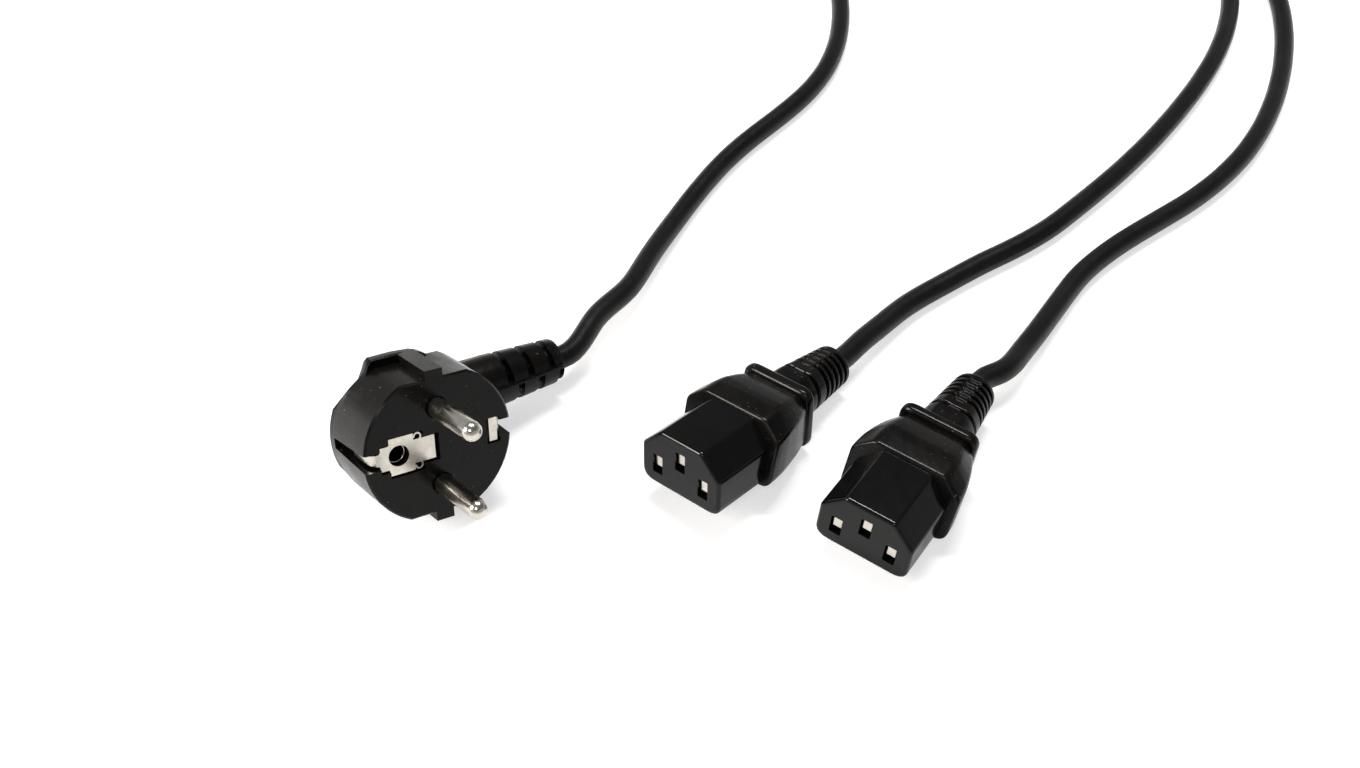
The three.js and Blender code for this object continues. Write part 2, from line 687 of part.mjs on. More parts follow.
/** All pieces of the plug. */
function makePlug(frame) {
  const guide = block(
    [-GUIDE_WIDTH / 2, -PLUG_FLAT - GUIDE_HEIGHT, -FLANGE_FRONT - 1],
    [GUIDE_WIDTH / 2, PLUG_FLAT + GUIDE_HEIGHT, 0],
  );
  const hub = taperedNeck(HUB_START, PLUG_BOOT_START, HUB_RADIUS + 0.5, HUB_RADIUS);
  const boot = taperedNeck(
    PLUG_BOOT_START - 1,
    PLUG_BOOT_END,
    HUB_RADIUS + 0.03,
    PLUG_BOOT_END_RADIUS,
  );
  const outlet = hub.add(boot).subtract(plugBootSlots());
  const paths = plugCorePaths();
  const jacketEnd = PLUG_BOOT_END - JACKET_INSIDE;
  const bore = jacketBore(jacketEnd - 2 * GAP, PLUG_BOOT_END);
  const sleeveRadius = EARTH_HOLE_RADIUS - 0.1;
  const sleeveHole = bar(sleeveRadius + GAP, -SLEEVE_END - GAP, 1, -EARTH_HOLE_PLACE, 0);
  const pocket = plate(stripOutline(0.45), -STRIP_RECESS - STRIP_THICKNESS - GAP, 1);
  const faceSide = block([-30, -30, -30], [-0.05, 30, 5]);
  const clipMouth = block([12.2, -3.2, -STRIP_DEPTH], [CHANNEL_FLOOR + 1, 3.2, 1]);
  const ears = stripEars();
  const earRoom = block([-6.3, -4.8, -STRIP_RECESS - STRIP_THICKNESS - GAP], [-3.9, 4.8, 1]);
  const cuts = [
    moved(bore, HUB_MATRIX),
    sleeveHole,
    pocket.intersect(faceSide),
    clipMouth,
    earRoom,
    earthChannel(1),
    earthChannel(-1),
    earthStrip(GAP),
    pinAt(1, GAP),
    pinAt(-1, GAP),
    pinBridge(GAP),
    core(paths.line, GAP),
    core(paths.neutral, GAP),
    core(paths.earth, GAP),
  ];
  const body = plugDisc()
    .add(plugRear())
    .add(guide)
    .add(moved(outlet, HUB_MATRIX))
    .subtract(wasm.Manifold.union(cuts));
  const holes = pinAt(1, GAP).add(pinAt(-1, GAP));
  const bridge = pinBridge().subtract(holes);
  const sleeve = bar(sleeveRadius, -SLEEVE_END, -SLEEVE_FRONT, -EARTH_HOLE_PLACE, 0)
    .subtract(bar(sleeveRadius - SLEEVE_WALL, -SLEEVE_END + 1, 1, -EARTH_HOLE_PLACE, 0));
  const eye = bar(EARTH_HOLE_RADIUS, -4, 1, -EARTH_HOLE_PLACE, 0);
  const strip = earthStrip().add(ears).subtract(eye);
  return [
    frame.piece('plug_body', body, SOFT_BLACK),
    frame.piece('plug_pin_bridge', bridge, HARD_BLACK),
    frame.piece('plug_line_pin', pinAt(-1), NICKEL),
    frame.piece('plug_neutral_pin', pinAt(1), NICKEL),
    frame.piece('plug_earth_strip', strip, NICKEL),
    frame.piece('plug_earth_sleeve', sleeve, NICKEL),
    frame.piece('plug_line_core', core(paths.line), BROWN_CORE),
    frame.piece('plug_neutral_core', core(paths.neutral), BLUE_CORE),
    frame.piece('plug_earth_core', core(paths.earth), EARTH_CORE),
  ];
}

// Appliance connectors

/** Outline of the connector's nose, with the two chamfers on the earth side. */
function noseOutline(margin = 0) {
  const width = NOSE_HALF_WIDTH + margin;
  const height = NOSE_HALF_HEIGHT + margin;
  const chamfer = NOSE_CHAMFER + margin * 0.6;
  return roundedOutline([
    [width, -height, 3.2],
    [width, height - chamfer, 0.9],
    [width - chamfer, height, 0.9],
    [-width + chamfer, height, 0.9],
    [-width, height - chamfer, 0.9],
    [-width, -height, 3.2],
  ]);
}

/** Outline of the grip: flat on top, with wings that stand out at the sides. */
function gripOutline(halfWidth, topHalfWidth, top, bottom, shoulder) {
  return roundedOutline([
    [halfWidth, -bottom, 3.4],
    [halfWidth, shoulder, 2.0],
    [topHalfWidth, top, 2.0],
    [-topHalfWidth, top, 2.0],
    [-halfWidth, shoulder, 2.0],
    [-halfWidth, -bottom, 3.4],
  ]);
}

/** The grip from the crossbar forward to the wings around the nose, cut on a slant in front. */
function connectorGrip() {
  const stations = [
    [GRIP_END + 1, 9.8, 7.6, 6.0, 7.8, 3.8],
    [GRIP_END - 0.6, 10.2, 8.0, 6.2, 7.8, 4.0],
    [31.0, 11.0, 8.6, 6.8, 7.8, 4.4],
    [27.0, 11.9, 9.1, 7.5, 7.7, 4.8],
    [22.5, 13.0, 9.6, 8.4, 7.7, 5.2],
    [19.5, 13.8, 9.6, 8.7, 7.7, 4.9],
    [17.0, 14.3, 9.5, 8.7, 7.7, 4.6],
    [GRIP_FRONT_BOTTOM - 3, 14.3, 9.5, 8.7, 7.7, 4.6],
  ];
  const whole = loft(stations.map(([depth, ...sizes]) => ({
    height: -depth,
    points: gripOutline(...sizes),
  })));
  const slant = (GRIP_FRONT_TOP - GRIP_FRONT_BOTTOM) / (2 * NOSE_HALF_HEIGHT);
  const middle = (GRIP_FRONT_TOP + GRIP_FRONT_BOTTOM) / 2;
  return whole.trimByPlane([0, -slant, -1], middle);
}

/** The crossbar behind the grip, with rounded ends and edges. */
function connectorBar() {
  const edge = 0.8;
  const stations = [
    [GRIP_END + BAR_THICKNESS, edge],
    [GRIP_END + BAR_THICKNESS - edge, 0],
    [GRIP_END + edge, 0],
    [GRIP_END, edge],
  ];
  return loft(stations.map(([depth, inset]) => ({
    height: -depth,
    points: roundedRectangle(BAR_HALF_WIDTH - inset, BAR_HALF_HEIGHT - inset, 3.6),
  }))).translate([0, -BAR_DROP, 0]);
}

/** Side grooves of the connector's strain relief, with a web along its top and bottom. */
function connectorGrooves() {
  const wide = CONNECTOR_NECK_RADIUS + 3;
  const cuts = [];
  const addGroove = (start, width, radius) => {
    const slab = block([-wide, -wide, start], [wide, wide, start + width]);
    const web = block([-wide, -GROOVE_WEB, start - 1], [wide, GROOVE_WEB, start + width + 1]);
    cuts.push(slab.subtract(bar(radius, start - 1, start + width + 1)).subtract(web));
  };
  const span = CONNECTOR_BOOT_END - CONNECTOR_BOOT_START;
  const shrink = CONNECTOR_NECK_RADIUS - CONNECTOR_BOOT_END_RADIUS;
  addGroove(CONNECTOR_BOOT_START, GROOVE_WIDTH * 1.4, CONNECTOR_NECK_RADIUS - GROOVE_DEPTH);
  for (let i = 0; i < GROOVE_COUNT; i += 1) {
    const start = CONNECTOR_BOOT_START + 5.6 + i * GROOVE_PITCH;
    const radius = CONNECTOR_NECK_RADIUS - (shrink * (start - CONNECTOR_BOOT_START)) / span;
    addGroove(start, GROOVE_WIDTH, radius - GROOVE_DEPTH);
  }
  return wasm.Manifold.union(cuts);
}

const CONNECTOR_OUTLET = outletMatrix([0, 0, 0], [0, 0, -1], [0, 1, 0]);

const CONTACT_PLACES = {
  line: [LIVE_SPACING / 2, -LIVE_DROP],
  neutral: [-LIVE_SPACING / 2, -LIVE_DROP],
  earth: [0, EARTH_RISE],
};

/** Paths of the connector's cores from the contacts back to the end of the jacket. */
function connectorCorePaths() {
  const jacketEnd = CONNECTOR_BOOT_END - JACKET_INSIDE;
  const contactEnd = -CONTACT_FRONT - CONTACT_LENGTH - GAP - 0.05;
  const places = corePlaces(90);
  const paths = {};
  for (const [name, [u, v]] of Object.entries(CONTACT_PLACES)) {
    const [x, y] = places[name];
    const side = Math.sign(u);
    const endU = name === 'earth' ? 0 : side * Math.abs(x);
    paths[name] = [
      [u, v, contactEnd],
      [u, v, contactEnd - 5],
      [u * 0.75, v * 0.85, -26],
      [u * 0.4, v * 0.75, -34],
      [endU, y, -jacketEnd + 3],
      [endU, y, -jacketEnd + GAP],
    ];
  }
  return paths;
}

/** One spring contact: a box with a slit mouth for the blade, and a crimp tail. */
function springContact() {
  const front = -CONTACT_FRONT;
  const back = front - CONTACT_LENGTH;
  const width = CONTACT_WIDTH / 2;
  const height = CONTACT_HEIGHT / 2;
  const shell = block([-width, -height, front - 9.5], [width, height, front]);
  const neck = block([-0.8, -0.9, back], [0.8, 0.9, front - 9]);
  const slit = block([-CONTACT_SLIT / 2, -height - 1, front - 8], [CONTACT_SLIT / 2, height + 1, front + 1]);
  return shell.add(neck).subtract(slit);
}

/** The hard insert whose front is the nose, with a blade slot for each contact. */
function connectorInsert(paths) {
  const edge = 0.5;
  const stations = [
    [INSERT_LENGTH, 0],
    [edge, 0],
    [0, -edge],
  ];
  let body = loft(stations.map(([depth, margin]) => ({
    height: -depth,
    points: noseOutline(margin),
  })));
  for (const [name, [u, v]] of Object.entries(CONTACT_PLACES)) {
    const halfWidth = SLOT_WIDTH / 2;
    const halfHeight = SLOT_HEIGHT / 2;
    const slot = block([u - halfWidth, v - halfHeight, -SLOT_DEPTH], [u + halfWidth, v + halfHeight, 1]);
    body = body.subtract(slot).subtract(core(paths[name], GAP));
  }
  return body;
}

/** All pieces of one appliance connector. */
function makeConnector(frame, side) {
  const neck = taperedNeck(
    GRIP_END,
    CONNECTOR_BOOT_END,
    CONNECTOR_NECK_RADIUS + 0.2,
    CONNECTOR_BOOT_END_RADIUS,
    CONNECTOR_NECK_FLAT,
    CONNECTOR_BOOT_END_RADIUS - 0.5,
  ).subtract(connectorGrooves());
  const paths = connectorCorePaths();
  const jacketEnd = CONNECTOR_BOOT_END - JACKET_INSIDE;
  const bore = jacketBore(jacketEnd - 2 * GAP, CONNECTOR_BOOT_END);
  const insertRoom = loft([INSERT_LENGTH + GAP, -1].map((depth) => ({
    height: -depth,
    points: noseOutline(GAP),
  })));
  const cuts = [
    insertRoom,
    moved(bore, CONNECTOR_OUTLET),
    core(paths.line, GAP),
    core(paths.neutral, GAP),
    core(paths.earth, GAP),
  ];
  const body = connectorGrip()
    .add(connectorBar())
    .add(moved(neck, CONNECTOR_OUTLET))
    .subtract(wasm.Manifold.union(cuts));
  const pieces = [
    frame.piece(`${side}_connector_body`, body, SOFT_BLACK),
    frame.piece(`${side}_connector_insert`, connectorInsert(paths), HARD_BLACK),
  ];
  const coreMaterials = { line: BROWN_CORE, neutral: BLUE_CORE, earth: EARTH_CORE };
  for (const [name, [u, v]] of Object.entries(CONTACT_PLACES)) {
    const contact = springContact().translate([u, v, 0]);
    pieces.push(frame.piece(`${side}_connector_${name}_contact`, contact, NICKEL));
    pieces.push(frame.piece(`${side}_connector_${name}_core`, core(paths[name]), coreMaterials[name]));
  }
  return pieces;
}

// Splitter block

const MAIN_OUTLET = outletMatrix([0, 0, -BLOCK_LENGTH], [0, 0, -1], [0, 1, 0]);
const LEFT_OUTLET = outletMatrix([-BRANCH_SPACING / 2, 0, 0], [0, 0, 1], [0, 1, 0]);
const RIGHT_OUTLET = outletMatrix([BRANCH_SPACING / 2, 0, 0], [0, 0, 1], [0, 1, 0]);

/** The moulded body of the splitter, with a tapered neck for each of the three cords. */
function splitterBody() {
  const edge = 1.2;
  const stations = [
    [BLOCK_LENGTH + 3, BLOCK_REAR_HALF_WIDTH - 2.4, BLOCK_HALF_HEIGHT - 1.2],
    [BLOCK_LENGTH, BLOCK_REAR_HALF_WIDTH, BLOCK_HALF_HEIGHT - 0.3],
    [CHAMBER_REAR - 6, BLOCK_FRONT_HALF_WIDTH - 1.2, BLOCK_HALF_HEIGHT],
    [12, BLOCK_FRONT_HALF_WIDTH, BLOCK_HALF_HEIGHT],
    [edge, BLOCK_FRONT_HALF_WIDTH, BLOCK_HALF_HEIGHT],
    [0, BLOCK_FRONT_HALF_WIDTH - edge, BLOCK_HALF_HEIGHT - edge],
  ];
  const shell = loft(stations.map(([depth, width, height]) => ({
    height: -depth,
    points: roundedRectangle(width, height, 4),
  })));
  const branchNeck = taperedNeck(-4, BRANCH_NECK_LENGTH, NECK_RADIUS, NECK_END_RADIUS);
  const mainNeck = taperedNeck(-4, MAIN_NECK_LENGTH, NECK_RADIUS + 0.5, NECK_END_RADIUS);
  const chamber = loft([
    [CHAMBER_REAR, CHAMBER_REAR_HALF_WIDTH],
    [CHAMBER_REAR - 8, CHAMBER_HALF_WIDTH],
    [CHAMBER_FRONT, CHAMBER_HALF_WIDTH],
  ].map(([depth, width]) => ({
    height: -depth,
    points: roundedRectangle(width, CHAMBER_HALF_HEIGHT, 1),
  })));
  const branchBore = jacketBore(-CHAMBER_FRONT - 1, BRANCH_NECK_LENGTH);
  const mainBore = jacketBore(CHAMBER_REAR - BLOCK_LENGTH - 1, MAIN_NECK_LENGTH);
  return shell
    .add(moved(branchNeck, LEFT_OUTLET))
    .add(moved(branchNeck, RIGHT_OUTLET))
    .add(moved(mainNeck, MAIN_OUTLET))
    .subtract(chamber)
    .subtract(moved(branchBore, LEFT_OUTLET))
    .subtract(moved(branchBore, RIGHT_OUTLET))
    .subtract(moved(mainBore, MAIN_OUTLET));
}

/** One crimped joint: a ferrule with the main core at its back and two branch cores in front. */
function splice(across, backStart, leftPath, rightPath) {
  const ferrule = bar(SPLICE_RADIUS, -SPLICE_FRONT - SPLICE_LENGTH, -SPLICE_FRONT, across, 0);
  const jacketEnd = -CHAMBER_REAR + 0.6;
  const back = core([
    [backStart[0], backStart[1], jacketEnd],
    [backStart[0], backStart[1], jacketEnd + 1],
    [(backStart[0] + across) / 2, backStart[1] / 2, jacketEnd + 3.2],
    [across, 0, -SPLICE_FRONT - SPLICE_LENGTH - 0.2],
    [across, 0, -SPLICE_FRONT - SPLICE_LENGTH + 1],
  ]);
  return ferrule.add(back).add(core(leftPath)).add(core(rightPath));
}

/** The three joints inside the splitter, led over and under each other without touching. */
function makeSplices(frame) {
  const front = -CHAMBER_FRONT - GAP - 0.6;
  const left = -BRANCH_SPACING / 2;
  const right = BRANCH_SPACING / 2;
  const join = -SPLICE_FRONT - 1;
  const side = CORE_DIAMETER / 2 + 0.05;
  const ring = CORE_RING;
  const low = -ring * 0.5;
  const wide = ring * 0.87;
  const layer = CHAMBER_HALF_HEIGHT - CORE_DIAMETER / 2 - GAP;
  const line = splice(
    -SPLICE_SPACING,
    [-wide, low],
    [[left - wide, low, front], [left - 0.8, -0.2, -10], [-SPLICE_SPACING - side, 0, join]],
    [[right, -ring, front], [right - 3, -layer, -8.2], [0, -layer, -9.6], [-SPLICE_SPACING + 3, -layer + 0.6, -11.4], [-SPLICE_SPACING + side, 0, join]],
  );
  const neutral = splice(
    SPLICE_SPACING,
    [wide, low],
    [[left, ring, front], [left + 3, layer, -8.2], [0, layer, -9.6], [SPLICE_SPACING - 3, layer - 0.6, -11.4], [SPLICE_SPACING - side, 0, join]],
    [[right + wide, -low, front], [right + 0.8, 0.2, -10], [SPLICE_SPACING + side, 0, join]],
  );
  const earth = splice(
    0,
    [0, ring],
    [[left + wide, low, front], [left + 3.4, -0.2, -8.8], [-side - 1, 0, -12.4], [-side, 0, join]],
    [[right - wide, -low, front], [right - 3.4, 0.2, -8.8], [side + 1, 0, -12.4], [side, 0, join]],
  );
  return [
    frame.piece('splitter_line_splice', line, COPPER),
    frame.piece('splitter_neutral_splice', neutral, COPPER),
    frame.piece('splitter_earth_splice', earth, COPPER),
  ];
}

// Cords, coil and tie

/** Points where a cord runs out of a piece: inside the bore, at its mouth and just past it. */
function outletPoints(frame, matrix, end, inside, run = STRAIGHT_RUN) {
  return [end - inside, end - inside / 2, end, end + run].map((along) => {
    const point = new THREE.Vector3(0, 0, along).applyMatrix4(matrix);
    return point.applyMatrix4(frame.matrix);
  });
}

/** A closed ring with rounded corners that the coil's turns fill. */
function coilRing(clearance = 0) {
  const halfWidth = (COIL_TURNS_WIDE * CORD_DIAMETER) / 2 + clearance;
  const halfHeight = (COIL_TURNS_HIGH * CORD_DIAMETER) / 2 + clearance;
  const middle = COIL_BOTTOM + (COIL_TURNS_HIGH * CORD_DIAMETER) / 2;
  const section = roundedRectangle(halfWidth, halfHeight, CORD_RADIUS)
    .map(([x, y]) => new THREE.Vector2(COIL_MIDDLE_RADIUS + x, middle + y));
  section.push(section[0].clone());
  const geometry = new THREE.LatheGeometry(section, 48);
  geometry.rotateX(Math.PI / 2);
  geometry.translate(COIL_CENTRE.x, COIL_CENTRE.y, 0);
  return solid(geometry);
}

/** The flat tie that wraps the section of the coil. */
function coilTie() {
  const halfWidth = (COIL_TURNS_WIDE * CORD_DIAMETER) / 2 + GAP + 0.1;
  const halfHeight = (COIL_TURNS_HIGH * CORD_DIAMETER) / 2 + GAP;
  const outer = roundedRectangle(halfWidth + TIE_THICKNESS, halfHeight + TIE_THICKNESS, CORD_RADIUS);
  const inner = roundedRectangle(halfWidth, halfHeight, CORD_RADIUS);
  const band = plate(outer, -TIE_WIDTH / 2, TIE_WIDTH / 2)
    .subtract(plate(inner, -TIE_WIDTH, TIE_WIDTH));
  const angle = THREE.MathUtils.degToRad(TIE_ANGLE);
  const outward = new THREE.Vector3(Math.cos(angle), Math.sin(angle), 0);
  const up = new THREE.Vector3(0, 0, 1);
  const matrix = new THREE.Matrix4().makeBasis(outward, up, outward.clone().cross(up));
  const middle = COIL_BOTTOM + (COIL_TURNS_HIGH * CORD_DIAMETER) / 2;
  matrix.setPosition(
    COIL_CENTRE.x + COIL_MIDDLE_RADIUS * outward.x,
    COIL_CENTRE.y + COIL_MIDDLE_RADIUS * outward.y,
    middle,
  );
  return moved(band, matrix);
}

/** All cord pieces between the placed plug, connectors and splitter block. */
function makeCords(plug, left, right, splitter) {
  const branchInside = BRANCH_NECK_LENGTH + CHAMBER_FRONT;
  const mainInside = MAIN_NECK_LENGTH + BLOCK_LENGTH - CHAMBER_REAR;
  const outlets = {
    plug: outletPoints(plug, HUB_MATRIX, PLUG_BOOT_END, JACKET_INSIDE, BENT_RUN),
    left: outletPoints(left, CONNECTOR_OUTLET, CONNECTOR_BOOT_END, JACKET_INSIDE),
    right: outletPoints(right, CONNECTOR_OUTLET, CONNECTOR_BOOT_END, JACKET_INSIDE),
    blockMain: outletPoints(splitter, MAIN_OUTLET, MAIN_NECK_LENGTH, mainInside),
    blockLeft: outletPoints(splitter, LEFT_OUTLET, BRANCH_NECK_LENGTH, branchInside),
    blockRight: outletPoints(splitter, RIGHT_OUTLET, BRANCH_NECK_LENGTH, branchInside),
  };
  const cord = (points) => tube(points, CORD_RADIUS, CORD_SIDES, CORD_STEP);
  const room = coilRing(GAP);
  const main = cord([...outlets.plug, ...MAIN_ROUTE]).subtract(room);
  const rear = cord([...outlets.blockMain, ...BLOCK_ROUTE]).subtract(room);
  const leftCord = cord([...outlets.left, ...LEFT_ROUTE, ...outlets.blockLeft.reverse()]);
  const rightCord = cord([...outlets.right, ...RIGHT_ROUTE, ...outlets.blockRight.reverse()]);
  return [
    piece('main_cord_plug_run', main, CORD_BLACK),
    piece('main_cord_coil', coilRing(), CORD_BLACK),
    piece('main_cord_block_run', rear, CORD_BLACK),
    piece('left_branch_cord', leftCord, CORD_BLACK),
    piece('right_branch_cord', rightCord, CORD_BLACK),
    piece('coil_tie', coilTie(), TIE_BLACK),
  ];
}

const plugFrame = new Frame(PLUG_PLACE);
const leftFrame = new Frame(LEFT_PLACE);
const rightFrame = new Frame(RIGHT_PLACE);
const splitterFrame = new Frame(BLOCK_PLACE);

const part = new THREE.Group();
part.name = 'power_cord_splitter';
part.add(...makePlug(plugFrame));
part.add(...makeConnector(leftFrame, 'left'));
part.add(...makeConnector(rightFrame, 'right'));
part.add(splitterFrame.piece('splitter_body', splitterBody(), SOFT_BLACK));
part.add(...makeSplices(splitterFrame));
part.add(...makeCords(plugFrame, leftFrame, rightFrame, splitterFrame));

export default part;
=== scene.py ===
"""Looks of a power cord splitter: an angled earthed plug, two appliance connectors and a block.

Every length here is in millimetres in the picture frame of the part's source, whose origin is
the floor point at the middle of the photograph. `in_part` takes such a point to the part's own
frame in metres, where all the meshes are.
"""

from __future__ import annotations

import logging
import math
from dataclasses import dataclass, field
from enum import Enum
from typing import Mapping, Sequence

import bmesh
import bpy
import numpy as np
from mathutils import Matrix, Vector


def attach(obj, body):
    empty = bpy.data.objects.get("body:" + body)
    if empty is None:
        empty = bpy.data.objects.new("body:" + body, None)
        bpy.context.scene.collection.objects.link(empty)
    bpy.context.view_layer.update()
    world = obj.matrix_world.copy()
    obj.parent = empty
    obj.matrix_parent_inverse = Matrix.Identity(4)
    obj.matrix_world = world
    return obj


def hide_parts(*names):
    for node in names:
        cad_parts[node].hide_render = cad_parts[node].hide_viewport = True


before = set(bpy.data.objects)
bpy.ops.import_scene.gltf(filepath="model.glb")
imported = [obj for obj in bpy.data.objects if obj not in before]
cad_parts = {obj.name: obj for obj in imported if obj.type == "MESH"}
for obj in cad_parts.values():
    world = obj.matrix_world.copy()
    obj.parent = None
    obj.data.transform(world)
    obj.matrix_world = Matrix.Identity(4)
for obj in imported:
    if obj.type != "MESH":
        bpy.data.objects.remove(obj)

LOG = logging.getLogger("power_cord_splitter")
MM = 0.001
CENTRE_SHIFT = np.array([-59.6, -117.0, 0.0])
JOIN_DISTANCE = 0.004
FLAT_ANGLE = 0.6
CREASE_ANGLE = 50.0
TURNED_SIDES = 40
WHITE = (1.0, 1.0, 1.0)
WARM_WHITE = (1.0, 0.94, 0.87)


class Slot(str, Enum):
    """Material slots of the part's record."""

    SOFT_BLACK = "soft_black"
    GLOSS_BLACK = "gloss_black"
    CORD_BLACK = "cord_black"
    NICKEL = "nickel"
    BROWN_CORE = "brown_core"
    BLUE_CORE = "blue_core"
    EARTH_CORE = "earth_core"
    CRIMP = "crimp"
    TIE_BLACK = "tie_black"


def in_part(points: Sequence[Sequence[float]] | np.ndarray) -> np.ndarray:
    """Moves points from the picture frame in millimetres to the part's frame in metres.

    Args:
        points: Points in rows of three numbers.

    Returns:
        The same rows, shifted and scaled.
    """
    return (np.asarray(points, float) + CENTRE_SHIFT) * MM


# Shader graphs


class Value:
    """One output of a shader node; Python's operators on it add Math nodes."""

    def __init__(self, graph: "Graph", socket: bpy.types.NodeSocket) -> None:
        """Keeps the graph and the output socket."""
        self.graph = graph
        self.socket = socket

    def _math(self, operation: str, first: "Term", second: "Term") -> "Value":
        """Adds one Math node that works on two terms."""
        return self.graph.node("ShaderNodeMath", {"operation": operation}, {0: first, 1: second})

    def __add__(self, other: "Term") -> "Value":
        """Adds a term."""
        return self._math("ADD", self, other)

    __radd__ = __add__

    def __mul__(self, other: "Term") -> "Value":
        """Multiplies by a term."""
        return self._math("MULTIPLY", self, other)

    __rmul__ = __mul__

    def __sub__(self, other: "Term") -> "Value":
        """Subtracts a term."""
        return self._math("SUBTRACT", self, other)

    def __rsub__(self, other: "Term") -> "Value":
        """Subtracts this value from a term."""
        return self._math("SUBTRACT", other, self)

    def over(self, edge: float) -> "Value":
        """Gives 1 where the value is over an edge, and 0 elsewhere."""
        return self._math("GREATER_THAN", self, edge)

    def wave(self) -> "Value":
        """Gives the sine of the value."""
        return self._math("SINE", self, 0.0)

    def clipped(self, low: float, high: float) -> "Value":
        """Maps a range of the value onto 0 to 1, and holds it there outside the range."""
        return self.graph.node("ShaderNodeMapRange", {"clamp": True}, {0: self, 1: low, 2: high})


Term = Value | float | Sequence[float]


class Graph:
    """The node tree of one material, with a Principled shader at its end."""

    def __init__(self, name: str) -> None:
        """Makes the material and its two closing nodes.

        Args:
            name: The material's name.
        """
        self.material = bpy.data.materials.new(name)
        self.material.use_nodes = True
        self.tree = self.material.node_tree
        self.tree.nodes.clear()
        self.shader = self.tree.nodes.new("ShaderNodeBsdfPrincipled")
        output = self.tree.nodes.new("ShaderNodeOutputMaterial")
        self.tree.links.new(self.shader.outputs["BSDF"], output.inputs["Surface"])

    def node(
        self,
        kind: str,
        settings: Mapping[str, object] | None = None,
        inputs: Mapping[int | str, Term] | None = None,
        output: int | str = 0,
    ) -> Value:
        """Adds a node.

        Args:
            kind: The node's type.
            settings: Its own settings, set first.
            inputs: Values or links of its sockets, by name or number.
            output: The socket to give back.

        Returns:
            The chosen output.
        """
        made = self.tree.nodes.new(kind)
        for key, setting in (settings or {}).items():
            setattr(made, key, setting)
        for key, term in (inputs or {}).items():
            self._feed(made.inputs[key], term)
        return Value(self, made.outputs[output])

    def _feed(self, socket: bpy.types.NodeSocket, term: Term) -> None:
        """Links a value to a socket, or sets a number or a colour on it."""
        if isinstance(term, Value):
            self.tree.links.new(term.socket, socket)
        elif isinstance(term, (int, float)):
            socket.default_value = float(term)
        elif len(term) < len(socket.default_value):
            socket.default_value = (*term, 1.0)
        else:
            socket.default_value = tuple(term)

    def set(self, **inputs: Term) -> None:
        """Sets the shader's sockets, with underscores for the spaces in their names."""
        for key, term in inputs.items():
            self._feed(self.shader.inputs[key.replace("_", " ")], term)

    def place(self, stretch: Sequence[float] = (1.0, 1.0, 1.0)) -> Value:
        """Gives the object coordinates in millimetres, stretched along each axis."""
        scale = [1.0 / (MM * amount) for amount in stretch]
        where = self.node("ShaderNodeTexCoord", output="Object")
        return self.node("ShaderNodeMapping", None, {"Vector": where, "Scale": scale})

    def noise(self, where: Value, scale: float, detail: float = 3.0, soft: float = 0.5) -> Value:
        """Gives a noise from 0 to 1 whose scale is per millimetre."""
        inputs = {"Vector": where, "Scale": scale, "Detail": detail, "Roughness": soft}
        return self.node("ShaderNodeTexNoise", None, inputs)

    def mixed(self, share: Term, first: Term, second: Term) -> Value:
        """Mixes two colours."""
        inputs = {"Factor": share, 6: first, 7: second}
        return self.node("ShaderNodeMix", {"data_type": "RGBA"}, inputs, output=2)

    def bump(self, height: Value, depth: float, over: Value | None = None) -> Value:
        """Turns a height from 0 to 1 into a normal, with its depth in millimetres."""
        inputs: dict[int | str, Term] = {
            "Height": height,
            "Distance": depth * MM,
            "Strength": 1.0,
        }
        if over is not None:
            inputs["Normal"] = over
        return self.node("ShaderNodeBump", None, inputs)


@dataclass(frozen=True)
class MouldedPlastic:
    """Black PVC or nylon as it comes out of a mould.

    Colour: a dark base with broad cloudy patches and sparse pale specks painted as glints of light
    off the grain. Roughness: the mould's polish with cloudy smears. Bump: a fine spark-eroded grain
    over a slow ripple.
    """

    name: str
    colour: tuple[float, float, float]
    haze: tuple[float, float, float]
    polish: float
    smear: float
    grain: float
    grain_scale: float = 2.6
    ripple: float = 0.04
    specular: float = 0.17
    glint_edge: float = 0.74

    def make(self) -> bpy.types.Material:
        """Builds the material."""
        graph = Graph(self.name)
        where = graph.place()
        cloud = graph.noise(where, 0.09, 4.0, 0.6)
        smear = graph.noise(graph.place((1.0, 3.0, 1.6)), 0.35, 5.0, 0.62)
        grain = graph.noise(where, self.grain_scale, 2.0, 0.6)
        glint_speck = graph.noise(where, 1.3, 1.0, 0.4).clipped(self.glint_edge, self.glint_edge + 0.05)
        patchy = graph.mixed(cloud.clipped(0.35, 0.75), self.colour, self.haze)
        # Painted glints: sparse pale specks mixed into the base colour stand for glints of light
        # off the grain.
        glinted = graph.mixed(glint_speck * 0.5, patchy, (0.11, 0.105, 0.1))
        slow = graph.bump(graph.noise(where, 0.22, 1.0), self.ripple)
        graph.set(
            Base_Color=glinted,
            Roughness=smear.clipped(0.2, 0.8) * self.smear + self.polish + glint_speck * 0.15,
            Normal=graph.bump(grain, self.grain, slow),
            Specular_IOR_Level=self.specular,
        )
        return graph.material


